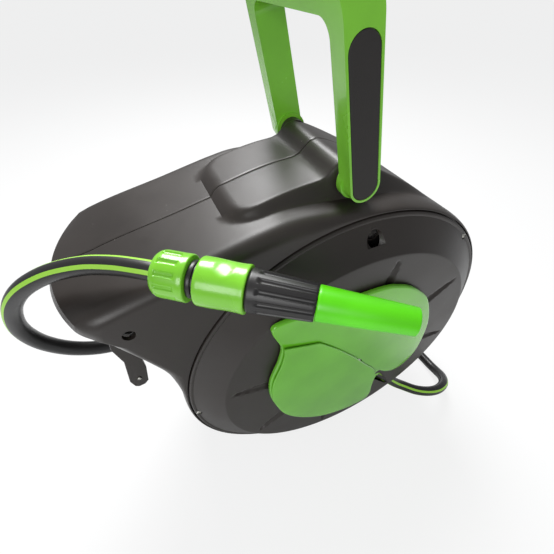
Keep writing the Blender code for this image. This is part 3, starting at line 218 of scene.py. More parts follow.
def finish(piece, look, body, slot, *nodes):
    """Gives a piece its material, its body and the solids that it stands for; the slot is not used."""
    piece.data.materials.clear()
    piece.data.materials.append(look)
    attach(piece, body)
    if nodes:
        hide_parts(*nodes)


NOZZLE_PLACE = cart(-0.16250, -0.09085, 0.38820)
NOZZLE_RUN = Vector((0.799, -0.601, -0.034)).normalized()
hose_start = NOZZLE_PLACE - NOZZLE_RUN * 0.0134
free_points = [hose_start, hose_start - NOZZLE_RUN * 0.012] + [cart(*p) for p in (
    (-0.2010, -0.0610, 0.3872), (-0.2220, -0.0480, 0.3838), (-0.2480, -0.0360, 0.3755),
    (-0.2730, -0.0260, 0.3600), (-0.2910, -0.0170, 0.3370), (-0.3000, -0.0100, 0.3080),
    (-0.2960, -0.0050, 0.2790), (-0.2800, -0.0020, 0.2550), (-0.2560, -0.0005, 0.2400),
    (-0.2270, 0.0000, 0.2350), (-0.2050, -0.0010, 0.2375), (-0.1780, -0.0030, 0.2475),
    (-0.1500, -0.0060, 0.2640), (-0.1224, -0.0090, 0.2830))]
striped = hose_look()
nozzle_line = smooth_line(free_points)
free_hose, free_length = hose_tube("garden_hose", nozzle_line, (-0.455, -0.572, -0.682))
finish(free_hose, striped, "housing", "hose_black", "free_hose")
INLET_RUN = Vector((cos(radians(-54.5)), -0.078, sin(radians(-54.5)))).normalized()
neck = AXLE + Vector((0.1078 * cos(radians(-54.5)), -0.0902, 0.1078 * sin(radians(-54.5))))
leader_points = [neck + INLET_RUN * 0.0006, neck + INLET_RUN * 0.012] + [cart(*p) for p in (
    (0.0790, -0.0933, 0.0930), (0.0880, -0.0950, 0.0815), (0.0969, -0.0965, 0.0704),
    (0.1085, -0.1005, 0.0587), (0.1200, -0.1070, 0.0519), (0.1363, -0.1193, 0.0466),
    (0.1535, -0.1281, 0.0438), (0.1704, -0.1314, 0.0408), (0.1860, -0.1291, 0.0369),
    (0.1993, -0.1222, 0.0306), (0.2098, -0.1104, 0.0219), (0.2150, -0.0965, 0.0135),
    (0.2168, -0.0818, 0.0088), (0.2168, -0.0640, 0.0075), (0.2140, -0.0300, 0.0075), (0.2070, 0.0150, 0.0075),
    (0.1990, 0.0600, 0.0075), (0.1910, 0.1150, 0.0075), (0.1850, 0.1600, 0.0075), (0.1812, 0.1930, 0.0075),
    (0.1800, 0.2100, 0.0075))]
COIL_MIDDLE, COIL_TURN = cart(0.105, 0.235, 0.0), 0.0725
for degrees_round in range(-2, 812, 15):
    a = radians(degrees_round)
    turn, part = divmod(degrees_round + 27, 360)
    rise = max(0.0, (part - 285) / 75)
    rise = rise * rise * (3 - 2 * rise)
    height = 0.0075 + HOSE * (turn + rise) * (1 if turn < 2 else 2 / max(turn + rise, 2))
    leader_points.append(COIL_MIDDLE + Vector((COIL_TURN * cos(a), COIL_TURN * sin(a), height)))
leader_points += [cart(*p) for p in (
    (0.0790, 0.3075, 0.0367), (0.0585, 0.3075, 0.0366), (0.0440, 0.3078, 0.0345), (0.0290, 0.3072, 0.0272),
    (0.0160, 0.3062, 0.0200), (0.0060, 0.3060, 0.0176), (0.0006, 0.3060, 0.0172), (-0.0134, 0.3060, 0.0172))]
leader_line = smooth_line(leader_points)
leader_hose, leader_length = hose_tube("leader_hose_striped", leader_line, (0.9, 0.2, 0.3))
finish(leader_hose, striped, "housing", "hose_black", "leader_hose", "leader_coil", "leader_tail")


# ---- Hood halves
# Two shells of warm black ABS, 3 mm thick and finely grained, that meet in a seam along the
# middle. They are moulded with a raised deck, a hump between the handle's arms, and a nose
# that is open underneath; pillars and bosses for the screws and the handle stand inside.

NEAR = Matrix.Translation(AXLE) @ Matrix.Rotation(pi / 2, 4, "X")
FAR = Matrix.Translation(AXLE) @ Matrix.Rotation(pi, 4, "Z") @ Matrix.Rotation(pi / 2, 4, "X")
SIDE_LINE = [(0.045, 0.1848), (0.027, 0.1885), (-0.024, 0.1935), (-0.068, 0.1955), (-0.093, 0.192),
             (-0.116, 0.187), (-0.150, 0.179), (-0.183, 0.172), (-0.205, 0.167), (-0.226, 0.161),
             (-0.234, 0.156), (-0.237, 0.148), (-0.234, 0.141), (-0.228, 0.137), (-0.221, 0.121),
             (-0.208, 0.093), (-0.199, 0.072), (-0.194, 0.054), (-0.190, 0.029), (-0.1895, 0.013)]
DECK_LINE = [(0.102, 0.158), (0.096, 0.164), (0.064, 0.186), (0.030, 0.205), (0.005, 0.2175),
             (-0.009, 0.2225), (-0.016, 0.2225), (-0.024, 0.216), (-0.031, 0.2105), (-0.052, 0.208),
             (-0.075, 0.204), (-0.105, 0.1965), (-0.120, 0.1925), (-0.135, 0.1885)]
HOOD_RADIUS, HOOD_SIDE, HOOD_WALL = 0.190, 0.083, 0.003
COVER_OPENING, LIP_INNER, LIP_FACE = 0.1862, 0.176, 0.0795
NOSE_SCREW, HANDLE_PIVOT, COVER_BOSS = (-0.208, 0.137), (-0.008, 0.211), (0, 0.171)
DECK_FRONT, DECK_EDGE, DECK_CORNER, DECK_WALL = -0.1100, 0.0540, 0.024, 0.0100


def by_angle(points):
    """Angles and radii along a smooth line through the given places."""
    return [(atan2(p.z, p.x), hypot(p.x, p.z)) for p in smooth_line([(x, 0, z) for x, z in points], 0.002)]


def radius_along(table, angle, outside):
    for (a0, r0), (a1, r1) in zip(table, table[1:]):
        if a0 <= angle <= a1:
            return r0 + (r1 - r0) * (angle - a0) / (a1 - a0)
    return outside


def swell(value, low, high):
    t = min(max((value - low) / (high - low), 0.0), 1.0)
    return t * t * (3 - 2 * t)


side_table, deck_table = by_angle(SIDE_LINE), by_angle(DECK_LINE)


def deck_share(x, y):
    """1 on the raised deck, 0 off it, with a soft wall between and round front corners."""
    ahead = (DECK_FRONT + DECK_CORNER) - x
    aside = abs(y) - (DECK_EDGE - DECK_CORNER)
    out = hypot(max(ahead, 0), max(aside, 0)) + min(max(ahead, aside), 0) - DECK_CORNER
    return swell(-out, -DECK_WALL / 2, DECK_WALL / 2)


def skin_radius(angle, y):
    side = radius_along(side_table, angle, HOOD_RADIUS)
    deck = max(side, radius_along(deck_table, angle, HOOD_RADIUS))
    return side + (deck - side) * deck_share(side * cos(angle), y)


def hood_ring(angle):
    """The hood's wall across the seam at one angle: outer skin, cover opening, inner skin."""
    side = radius_along(side_table, angle, HOOD_RADIUS)
    drop = min(0.014, 0.8 * (side - COVER_OPENING))
    ring = [(LIP_INNER, LIP_FACE), (COVER_OPENING, LIP_FACE), (COVER_OPENING, HOOD_SIDE - 0.0006),
            (COVER_OPENING + 0.0003, HOOD_SIDE)]
    shoulder = HOOD_SIDE - 0.014
    if side - drop > COVER_OPENING + 0.012:
        ring += [(COVER_OPENING + (side - drop - COVER_OPENING) * k / 3, HOOD_SIDE) for k in (1, 2)]
    else:
        ring += [(COVER_OPENING + 0.0003 + (side - drop - COVER_OPENING - 0.0003) * k / 3,
                  HOOD_SIDE) for k in (1, 2)]
    for k in range(11):
        a = pi / 2 * k / 10
        ring.append((side - drop + drop * sin(a), shoulder + 0.014 * cos(a)))
    for y in (0.066, 0.063, 0.0605, 0.0585, 0.057, 0.056, 0.055, 0.054, 0.053, 0.052, 0.051, 0.050,
              0.0485, 0.046, 0.042, 0.037, 0.031, 0.024, 0.016, 0.008, 0.003):
        ring.append((skin_radius(angle, y), y))
    middle = skin_radius(angle, 0.0)
    ring += [(middle, 0.0014), (middle - 0.00035, 0.0006), (middle - 0.0013, 0.0002),
             (middle - HOOD_WALL, 0.0002)]
    for y in (0.020, 0.046, 0.050, 0.053, 0.056, 0.060):
        ring.append((skin_radius(angle, y + 0.002) - HOOD_WALL, y))
    for k in (6, 4, 2, 0):
        a = pi / 2 * k / 6
        inner = max(drop - HOOD_WALL, 0.0006)
        ring.append((side - HOOD_WALL - inner + inner * sin(a),
                     shoulder + (HOOD_SIDE - HOOD_WALL - shoulder) * cos(a)
                     if side > COVER_OPENING + 0.012 else shoulder + (LIP_FACE - 0.0024 - shoulder) * cos(a)))
    return ring + [(min(COVER_OPENING + HOOD_WALL, side - drop - 0.0004), LIP_FACE - HOOD_WALL),
                   (LIP_INNER, LIP_FACE - HOOD_WALL), (LIP_INNER, LIP_FACE)]


def pick(*pieces):
    """Selects these pieces alone, with the last of them active."""
    bpy.ops.object.select_all(action="DESELECT")
    for piece in pieces:
        piece.select_set(True)
    bpy.context.view_layer.objects.active = pieces[-1]


def tidy_faces(piece, angle=38):
    """Merges a piece's doubles, turns its faces outwards and shades it smooth up to an angle."""
    pick(piece)
    bpy.ops.object.mode_set(mode="EDIT")
    bpy.ops.mesh.select_all(action="SELECT")
    bpy.ops.mesh.remove_doubles(threshold=0.000005)
    bpy.ops.mesh.normals_make_consistent(inside=False)
    bpy.ops.object.mode_set(mode="OBJECT")
    bpy.ops.object.shade_smooth_by_angle(angle=radians(angle))


def laid_grid(name, rows, place):
    """A grid primitive with its points laid along rows of places."""
    piece = started(name, bpy.ops.mesh.primitive_grid_add, x_subdivisions=len(rows[0]) - 1,
                    y_subdivisions=len(rows) - 1, size=1)
    for vertex, point in zip(piece.data.vertices, (p for row in rows for p in row)):
        vertex.co = place @ Vector(point)
    tidy_faces(piece)
    return piece


def shaped(piece, operation, tools, solver="MANIFOLD"):
    """Cuts the tools out of a piece, or joins them to it, and removes them."""
    group = bpy.data.collections.new(piece.name + "_tools")
    bpy.context.scene.collection.children.link(group)
    for tool in tools:
        group.objects.link(tool)
    step = piece.modifiers.new("shape", "BOOLEAN")
    step.operation, step.solver = operation, solver
    step.operand_type, step.collection = "COLLECTION", group
    pick(piece)
    bpy.ops.object.modifier_apply(modifier=step.name)
    for tool in tools:
        bpy.data.objects.remove(tool)
    bpy.data.collections.remove(group)
    bpy.ops.object.shade_smooth_by_angle(angle=radians(38))


def block(name, low, high, place):
    piece = started(name, bpy.ops.mesh.primitive_cube_add, size=1)
    for vertex in piece.data.vertices:
        spot = [(a + b) / 2 + v * (b - a) for a, b, v in zip(low, high, vertex.co)]
        vertex.co = place @ Vector(spot)
    tidy_faces(piece)
    return piece


def rod(name, middle, radius, low, high, place, sides=40, far_radius=None):
    """A round bar or cone along the place's Z, from low to high."""
    piece = started(name, bpy.ops.mesh.primitive_cone_add, vertices=sides, radius1=radius,
                    radius2=radius if far_radius is None else far_radius, depth=1)
    for vertex in piece.data.vertices:
        x, y, z = vertex.co
        vertex.co = place @ Vector((middle[0] + x, middle[1] + y, (low + high) / 2 + z * (high - low)))
    tidy_faces(piece)
    return piece


def times(tree, first, second):
    made = added(tree, "Math", {0: first, 1: second})
    made.operation = "MULTIPLY"
    return made.outputs["Value"]


def ranged(tree, value, low, high, to_low=0.0, to_high=1.0):
    made = added(tree, "MapRange", {"Value": value, "From Min": low, "From Max": high, "To Min": to_low,
                                    "To Max": to_high})
    return made.outputs["Result"]


def grain_group():
    """Moulded grain: a mask of fine pits, broad mottling of the colour, and a few pale scuffs."""
    tree = bpy.data.node_groups.new("moulded grain", "ShaderNodeTree")
    for name, kind, default in (("Vector", "Vector", None), ("Colour", "Color", (0.05, 0.05, 0.05, 1)),
                                ("Grain Scale", "Float", 1500.0), ("Scuffs", "Float", 0.1),
                                ("Low Roughness", "Float", 0.4), ("High Roughness", "Float", 0.55)):
        socket = tree.interface.new_socket(name, in_out="INPUT", socket_type="NodeSocket" + kind)
        if default is not None:
            socket.default_value = default
    for name, kind in (("Colour", "Color"), ("Roughness", "Float"), ("Height", "Float")):
        tree.interface.new_socket(name, in_out="OUTPUT", socket_type="NodeSocket" + kind)
    given, out = tree.nodes.new("NodeGroupInput").outputs, tree.nodes.new("NodeGroupOutput")
    place = given["Vector"]
    pits = added(tree, "TexNoise", {"Vector": place, "Scale": given["Grain Scale"], "Detail": 3})
    mottle = added(tree, "TexNoise", {"Vector": place, "Scale": 17, "Detail": 5}).outputs["Fac"]
    tinted = added(tree, "VectorMath", {0: given["Colour"]})
    tinted.operation = "SCALE"
    feed(tree, tinted, {"Scale": ranged(tree, mottle, 0.3, 0.7, 0.88, 1.12)})
    specks = added(tree, "TexVoronoi", {"Vector": place, "Scale": 95})
    rare = added(tree, "TexNoise", {"Vector": place, "Scale": 23, "Detail": 2})
    scuffed = times(tree, ranged(tree, specks.outputs["Distance"], 0.045, 0.02),
                    ranged(tree, rare.outputs["Fac"], 0.60, 0.66))
    marked = tree.nodes.new("ShaderNodeMix")
    marked.data_type = "RGBA"
    feed(tree, marked, {"Factor": times(tree, scuffed, given["Scuffs"]), "A": tinted.outputs["Vector"],
                        "B": (0.5, 0.48, 0.45, 1)})
    rough = ranged(tree, mottle, 0.3, 0.7, given["Low Roughness"], given["High Roughness"])
    feed(tree, out, {"Colour": marked.outputs["Result"], "Roughness": rough, "Height": pits.outputs["Fac"]})
    return tree


grain = grain_group()


def moulded(name, colour, low, high, pit=0.00006, scale=1500.0, scuffs=0.0, coat=0.0, metal=0.0):
    """A moulded or turned finish: the grain group into a plain shader."""
    look = bpy.data.materials.new(name)
    look.use_nodes = True
    tree = look.node_tree
    place = added(tree, "TexCoord", {})
    surface = tree.nodes.new("ShaderNodeGroup")
    surface.node_tree = grain
    feed(tree, surface, {"Vector": place.outputs["Object"], "Colour": (*colour, 1), "Grain Scale": scale,
                         "Scuffs": scuffs, "Low Roughness": low, "High Roughness": high})
    bump = added(tree, "Bump", {"Height": surface.outputs["Height"], "Distance": pit})
    feed(tree, tree.nodes["Principled BSDF"], {
        "Base Color": surface.outputs["Colour"], "Roughness": surface.outputs["Roughness"],
        "Normal": bump.outputs["Normal"], "Metallic": metal, "Coat Weight": coat, "Coat Roughness": 0.06})
    return look


housing_black = moulded("housing black", (0.0265, 0.0208, 0.0176), 0.35, 0.45, pit=0.00004, scale=1700,
                        scuffs=0.7)


def hood_shell(name, place, flip):
    steps = 240
    rows = []
    for k in range(steps + 1):
        angle = -pi + 2 * pi * k / steps
        bulge = 0.025 * (swell(angle, radians(143.8), radians(148))
                         * (1 - swell(angle, radians(150), radians(154))))
        row = []
        for radius, y in hood_ring(angle):
            across = max(0.0, 1 - (y / (HOOD_SIDE - HOOD_WALL)) ** 2)
            row.append((flip * (radius * cos(angle) - bulge * across), radius * sin(angle), y))
        rows.append(row)
    shell = laid_grid(name, rows, place)
    ends = sorted((flip * -0.150, flip * -0.330))
    tools = [block("mouth", (ends[0], 0.024, -0.01), (ends[1], 0.138, 0.0758), place)]
    if flip > 0:
        tools.append(rod("nose_well", (flip * NOSE_SCREW[0], NOSE_SCREW[1]), 0.0051, 0.0755, 0.1, place))
    shaped(shell, "DIFFERENCE", tools)
    pieces = [sleeve("handle_boss", (flip * HANDLE_PIVOT[0], HANDLE_PIVOT[1]), 0.012, 0.0043, 0.0472,
                     0.0577, place),
              sleeve("nose_pillar", (flip * NOSE_SCREW[0], NOSE_SCREW[1]), 0.0072, 0.0022, 0.0002, 0.0752,
                     place),
              sleeve("cover_lug", COVER_BOSS, 0.0066, 0.0018, 0.0665, 0.0795, place)]
    pick(*pieces, shell)
    bpy.ops.object.join()
    return shell


def sleeve(name, middle, radius, bore, low, high, place):
    piece = rod(name, middle, radius, low, high, place)
    shaped(piece, "DIFFERENCE", [rod(name + "_bore", middle, bore, low - 0.01, high + 0.01, place)])
    return piece


SIDES = (("near", NEAR, 1), ("far", FAR, -1))
for side, place, flip in SIDES:
    finish(hood_shell(f"hood_{side}_shell", place, flip), housing_black, "housing", "body_black",
           "hood_" + side)


# ---- Side covers
# Two round ABS dishes, a flat disc on a cone, each held to its hood half by three small screws
# at the rim and one in a funnel under the handle. Eight pointed flutes stiffen the disc. The
# near one has a pocket at its lower rear edge, where the leader hose comes out to its neck.

COVER_FACE, COVER_EDGE, COVER_UNDER = 0.103, 0.154, 0.0798
FLUTE_OUT, FLUTE_IN, FLUTE_HALF, FLUTE_DEPTH = 0.146, 0.074, 0.0092, 0.0031
RIM_SCREW_OUT = 0.18
SCREW_SPOTS = [(0.1812, radians(45)), (0.1812, radians(185)), (0.1812, radians(290)), (0.171, radians(90))]


def turned_rows(profile, steps, dent=None):
    """Rows of a turned shape: profile points are (radius, height, share of the dent)."""
    rows = []
    for k in range(steps + 1):
        a = 2 * pi * (k % steps) / steps
        row = []
        for r, z, share in profile:
            depth = share * dent(r, z, a) if dent and share else 0.0
            row.append(((r - depth) * cos(a), (r - depth) * sin(a), z))
        rows.append(row)
    return rows


def plain(points):
    """A closed profile without dents, from (radius, height) points."""
    return [(r, z, 0) for r, z in points + points[:1]]


def cover_shell(name, place, flip):
    steps = 448
    radii = [0.016, 0.0165, 0.030, 0.050, 0.066] + [0.072 + 0.0025 * k for k in range(31)] + [0.1495, 0.1512]
    rows = []
    for k in range(steps + 1):
        a = 2 * pi * (k % steps) / steps
        seen = a if flip > 0 else pi - a
        off = (seen - radians(35) + pi / 8) % (pi / 4) - pi / 8
        row = []
        for r in radii:
            along, aside = r * cos(off), abs(r * sin(off))
            part = (along - FLUTE_IN) / (FLUTE_OUT - FLUTE_IN)
            half = FLUTE_HALF * max(0.0, 1 - part) ** 0.55 if part > 0 else FLUTE_HALF
            dip = FLUTE_DEPTH * (1 - (aside / half) ** 2) ** 0.6 if 0 <= part < 1 and aside < half else 0.0
            row.append((r * cos(a), r * sin(a),
                        COVER_FACE - dip * swell(along, FLUTE_IN - 0.002, FLUTE_IN + 0.004)))
        for r, z in ((0.1526, 0.10297), (0.1535, 0.1028), (0.1541, 0.1024), (0.1620, 0.0972),
                     (0.1730, 0.0901), (0.1812, 0.0848), (0.1820, 0.0850), (0.1831, 0.0851), (0.1841, 0.0848),
                     (0.1847, 0.0841), (0.1850, 0.0832), (0.1850, COVER_UNDER), (0.1778, COVER_UNDER),
                     (0.1765, 0.0850), (0.1524, 0.0992), (0.024, 0.0992), (0.024, 0.092), (0.016, 0.092),
                     (0.016, 0.103)):
            row.append((r * cos(a), r * sin(a), z))
        rows.append(row)
    shell = laid_grid(name, rows, place)
    tools = []
    for r, a in SCREW_SPOTS:
        spot = (flip * r * cos(a), r * sin(a))
        if r < RIM_SCREW_OUT:
            tools.append(rod("funnel", spot, 0.0052, 0.0880, 0.0960, place, far_radius=0.0118))
        radius, floor_height = (0.0051, 0.0864) if r < RIM_SCREW_OUT else (0.0033, 0.0832)
        tools += [rod("well", spot, radius, floor_height, 0.11, place),
                  rod("bore", spot, 0.0018, 0.07, 0.11, place)]
    joins = [rod("boss", COVER_BOSS, 0.0063, COVER_UNDER, 0.0878, place)]
    if flip > 0:
        joins.append(sector_block("pocket_wall", 0.096, 0.1748, radians(-65.2), radians(-46.3), 0.0645,
                                  0.0998, place))
        tools += [sector_block("pocket_space", 0.098, 0.21, radians(-64), radians(-47.5), 0.0665, 0.12,
                               place),
                  slanted_rod("neck_hole", 0.0064, 0.08, 0.11, place)]
    shaped(shell, "UNION", joins)
    shaped(shell, "DIFFERENCE", tools)
    return shell


def sector_block(name, inner, outer, first, last, low, high, place):
    piece = started(name, bpy.ops.mesh.primitive_cube_add, size=1)
    bpy.ops.object.mode_set(mode="EDIT")
    bpy.ops.mesh.subdivide(number_cuts=9)
    bpy.ops.object.mode_set(mode="OBJECT")
    for vertex in piece.data.vertices:
        x, y, z = (v + 0.5 for v in vertex.co)
        r, a = inner + (outer - inner) * x, first + (last - first) * y
        roof = min(high, COVER_FACE - 0.0012 - max(0.0, r - COVER_EDGE) * 0.645)
        vertex.co = place @ Vector((r * cos(a), r * sin(a), low + (roof - low) * z))
    tidy_faces(piece)
    return piece


def slanted_rod(name, radius, start, end, place):
    """A round bar along the inlet neck, between two distances from the axle."""
    slope = 0.0072 / 0.0918
    a = radians(-54.5)
    run = Vector((cos(a), sin(a), slope)).normalized()
    root = Vector((start * cos(a), start * sin(a), 0.083 + slope * (start - 0.016)))
    turn = Matrix.Translation(root) @ run.to_track_quat("Z", "Y").to_matrix().to_4x4()
    return rod(name, (0, 0), radius, 0, (end - start) * hypot(1, slope), place @ turn)


for side, place, flip in SIDES:
    finish(cover_shell(f"cover_{side}_shell", place, flip), housing_black, "housing", "body_black",
           "cover_" + side)


# ---- Crank
# A thick, flat, leaf-shaped crank of glossy green ABS on the drum's square spindle, with a
# second plate clipped on its lower half and the maker's place left bare. A black grip lies
# flat in a window of the crank and swings out on a steel pin.

CRANK_LEAF = [(-0.102, 0.118), (-0.094, 0.086), (-0.096, 0.064), (-0.105, 0.034), (-0.106, 0.006),
              (-0.100, -0.022), (-0.089, -0.050), (-0.068, -0.078), (-0.037, -0.103), (-0.004, -0.115),
              (0.022, -0.117), (0.038, -0.113), (0.0435, -0.099), (0.042, -0.078), (0.0425, -0.058),
              (0.049, -0.050), (0.062, -0.061), (0.077, -0.067), (0.092, -0.061), (0.103, -0.042),
              (0.1055, -0.014), (0.102, 0.022), (0.091, 0.054), (0.079, 0.077), (0.066, 0.091),
              (0.049, 0.105), (0.032, 0.114), (0.012, 0.120), (-0.030, 0.121), (-0.070, 0.121)]
PLATE_EDGE = [(0.0415, -0.052), (0.032, -0.030), (0.016, -0.009), (-0.007, 0.022), (-0.033, 0.053),
              (-0.055, 0.076)]
CRANK_UNDER, CRANK_TOP, PLATE_TOP = 0.1045, 0.1107, 0.1132
GRIP_PLACE = NEAR @ Matrix.Translation((0.036, 0.058, 0)) @ Matrix.Rotation(radians(-39), 4, "Z")


def leaf_rows(outline, hub, under, top, crown, edge):
    """Rows from an outline in to its hub over a crowned top with a rounded edge, and back below."""
    rows = []
    middle = Vector((*hub, 0))
    count = len(outline)
    for i in range(count + 1):
        point = Vector((*outline[i % count], 0))
        reach = point - middle
        length = reach.length
        row = [(*hub, top)]
        for share in (0.12, 0.25, 0.38, 0.50, 0.60, 0.70, 0.78, 0.85, 0.90):
            spot = middle + reach * share * (length - edge) / length
            row.append((spot.x, spot.y, top - crown * share ** 2.4))
        for k in range(7):
            a = pi / 2 * k / 6
            spot = middle + reach * (length - edge * (1 - sin(a))) / length
            row.append((spot.x, spot.y, top - crown - edge * (1 - cos(a))))
        row += [(point.x, point.y, under + 0.0006), (*(middle + reach * (1 - 0.0006 / length)).xy, under),
                (*hub, under)]
        rows.append(row)
    return rows


def flat_line(points, step=0.002, closed=False):
    """Smooth points in the plane through the given ones."""
    if closed:
        made = smooth_line([(x, y, 0) for x, y in points[-2:] + points + points[:2]], step)
        first = min(range(len(made)), key=lambda i: (made[i].xy - Vector(points[0])).length)
        last = max(i for i in range(len(made)) if (made[i].xy - Vector(points[0])).length < 1e-6)
        return [tuple(p.xy) for p in made[first:last]]
    return [tuple(p.xy) for p in smooth_line([(x, y, 0) for x, y in points], step)]


crank_green = moulded("crank green", (0.150, 0.52, 0.022), 0.11, 0.18, pit=0.000004, scale=60, scuffs=0.05,
                      coat=0.35)
leaf = flat_line(CRANK_LEAF, closed=True)
crank = laid_grid("crank_leaf",
                  leaf_rows(leaf, (0, 0), CRANK_UNDER, CRANK_TOP - 0.0002, 0.0012, 0.0024), NEAR)
shaped(crank, "DIFFERENCE", [
    block("window", (-0.0354, -0.0109, 0.09), (0.0354, 0.0109, 0.12), GRIP_PLACE),
    block("hub_hole", (-0.0073, -0.0073, 0.09), (0.0073, 0.0073, 0.12), NEAR),
    rod("screw_seat", (0, 0), 0.0092, CRANK_TOP - 0.0022, 0.12, NEAR)])
finish(crank, crank_green, "drum", "crank_green", "crank_arm")

first = next(i for i, p in enumerate(leaf) if p[1] < 0.0885)
last = next(i for i, p in enumerate(leaf) if p[0] > 0.0415 and p[1] > -0.064)
lower = [Vector(p) for p in leaf[first:last]]
lower = [p + Vector((-(b - a).y, (b - a).x)).normalized() * 0.0012
         for p, a, b in zip(lower, [lower[0]] + lower[:-1], lower[1:] + [lower[-1]])]
plate_outline = [tuple(p) for p in lower] + flat_line(PLATE_EDGE)
plate = laid_grid("crank_plate",
                  leaf_rows(plate_outline, (-0.030, -0.020), CRANK_TOP + 0.0003, PLATE_TOP, 0.0006, 0.0011),
                  NEAR)
finish(plate, crank_green, "drum", "crank_green", "crank_cover")


# ---- Handle
# A U of green ABS, 27 mm deep, that folds forward about two steel pins in the hood's hump.
# Soft black inserts are set in both arms and a grip pad in the bar.

ARM_OUT, ARM_IN, BAR_TOP, BAR_UNDER, ARM_DEPTH = 0.076, 0.060, 0.134, 0.111, 0.0135
LEAN = Matrix.Rotation(radians(-12.5), 4, "Y")
PIVOT = Matrix.Translation(cart(HANDLE_PIVOT[0], 0, AXLE.z + HANDLE_PIVOT[1])) @ LEAN


def arc(middle, radius, first, last, count):
    return [(middle[0] + radius * cos(first + (last - first) * k / count),
             middle[1] + radius * sin(first + (last - first) * k / count)) for k in range(count + 1)]


def slab(name, outline, low, high, place):
    """A filled circle primitive with its points on an outline, extruded along the place's Z."""
    piece = started(name, bpy.ops.mesh.primitive_circle_add, vertices=len(outline), radius=0.1,
                    fill_type="NGON")
    for vertex, point in zip(piece.data.vertices, outline):
        vertex.co = (*point, low)
    bpy.ops.object.mode_set(mode="EDIT")
    bpy.ops.mesh.select_all(action="SELECT")
    bpy.ops.mesh.extrude_region_move(TRANSFORM_OT_translate={"value": (0, 0, high - low)})
    bpy.ops.object.mode_set(mode="OBJECT")
    piece.data.transform(place)
    tidy_faces(piece)
    return piece


def softened(piece, width, segments=3, angle=35):
    step = piece.modifiers.new("soft edges", "BEVEL")
    step.width, step.segments, step.limit_method, step.angle_limit = width, segments, "ANGLE", radians(angle)
    pick(piece)
    bpy.ops.object.modifier_apply(modifier=step.name)
    bpy.ops.object.shade_smooth_by_angle(angle=radians(38))


ACROSS = PIVOT @ Matrix.Rotation(pi / 2, 4, "Z") @ Matrix.Rotation(pi / 2, 4, "X")
ALONG_NEAR = PIVOT @ Matrix.Rotation(pi / 2, 4, "X")
ALONG_FAR = PIVOT @ Matrix.Rotation(-pi / 2, 4, "X")
u_line = ([(ARM_OUT, -0.02)] + arc((ARM_OUT - 0.026, BAR_TOP - 0.026), 0.026, 0, pi / 2, 14)
          + arc((-ARM_OUT + 0.026, BAR_TOP - 0.026), 0.026, pi / 2, pi, 14)
          + [(-ARM_OUT, -0.02), (-ARM_IN, -0.02)]
          + arc((-ARM_IN + 0.012, BAR_UNDER - 0.012), 0.012, pi, pi / 2, 10)
          + arc((ARM_IN - 0.012, BAR_UNDER - 0.012), 0.012, pi / 2, 0, 10) + [(ARM_IN, -0.02)])


def arm_side(half, top, corner):
    return (arc((0, 0), half, pi, 2 * pi, 28) + arc((half - corner, top - corner), corner, 0, pi / 2, 10)
            + arc((-half + corner, top - corner), corner, pi / 2, pi, 10))


handle = slab("handle_bow", u_line, -ARM_DEPTH, ARM_DEPTH, ACROSS)
shaped(handle, "INTERSECT", [slab("side_shape", arm_side(ARM_DEPTH, BAR_TOP, 0.008), -0.1, 0.1, ALONG_NEAR)])
softened(handle, 0.0026, 4)
handle_green = moulded("handle green", (0.20, 0.55, 0.035), 0.2, 0.3, pit=0.00001, scale=400, scuffs=0.05,
                       coat=0.3)
soft_black = moulded("soft black", (0.018, 0.015, 0.014), 0.5, 0.62, pit=0.00009, scale=1300)
shaped(handle, "UNION", [rod("near_boss", (0, 0), 0.0155, 0.058, 0.064, ALONG_NEAR, sides=64),
                         rod("far_boss", (0, 0), 0.0155, 0.058, 0.064, ALONG_FAR, sides=64)])
insert_side = arm_side(0.01125, BAR_TOP - 0.030, 0.01125)
wells = []
for side, place in (("near", ALONG_NEAR), ("far", ALONG_FAR)):
    turned_side = [(x, y if side == "near" else -y) for x, y in insert_side]
    wide = [(x * 1.027, y + (0.0003 if y > 0 else -0.0003)) for x, y in turned_side]
    wells += [slab("insert_well", wide, 0.074, 0.09, place),
              rod("pin_bore", (0, 0), 0.0043, 0.05, 0.0718, place)]
    insert = slab("handle_insert_" + side + "_soft", turned_side, 0.0743, 0.0762, place)
    softened(insert, 0.0007, 2)
    finish(insert, soft_black, "handle", "soft_black", "handle_insert_" + side)
pad_side = arc((0.0, 0.0375), 0.0095, 0, pi, 16) + arc((0.0, -0.0375), 0.0095, pi, 2 * pi, 16)
wells.append(slab("pad_well", [(x * 1.03, y * 1.006) for x, y in pad_side], BAR_TOP - 0.002, 0.15, PIVOT))
shaped(handle, "DIFFERENCE", wells)
finish(handle, handle_green, "handle", "crank_green", "handle_frame")
pad = slab("handle_pad_soft", pad_side, BAR_TOP - 0.0017, BAR_TOP + 0.0008, PIVOT)
softened(pad, 0.0009, 3)
finish(pad, soft_black, "handle", "soft_black", "handle_pad")


# ---- Hose connector, tap connector and nozzle
# Both hose ends have the same snap connector for half-inch hose: a fluted green nut clamps the
# hose on a black body, and a waisted green sleeve slides back on it against a spring. In the
# upper one sits the nozzle: a fluted black barrel on a stem, and a tip that twists to spray.

NOZZLE_SPOT = Matrix.Translation(NOZZLE_PLACE) @ NOZZLE_RUN.to_track_quat("Z", "Y").to_matrix().to_4x4()
TAP_SPOT = Matrix.Translation(cart(-0.030, 0.306, 0.0172)) @ Matrix.Rotation(-pi / 2, 4, "Y")
fitting_green = moulded("fitting green", (0.215, 0.62, 0.030), 0.22, 0.34, pit=0.00002, scale=500,
                        scuffs=0.08, coat=0.35)
tip_green = moulded("tip green", (0.115, 0.74, 0.001), 0.28, 0.40, pit=0.00001, scale=400, scuffs=0.05,
                    coat=0.1)
fitting_black = moulded("fitting black", (0.018, 0.0165, 0.0165), 0.30, 0.42, pit=0.00003, scale=1400,
                        scuffs=0.3)
seal_black = moulded("seal rubber", (0.016, 0.016, 0.016), 0.6, 0.75, pit=0.00004, scale=2500)


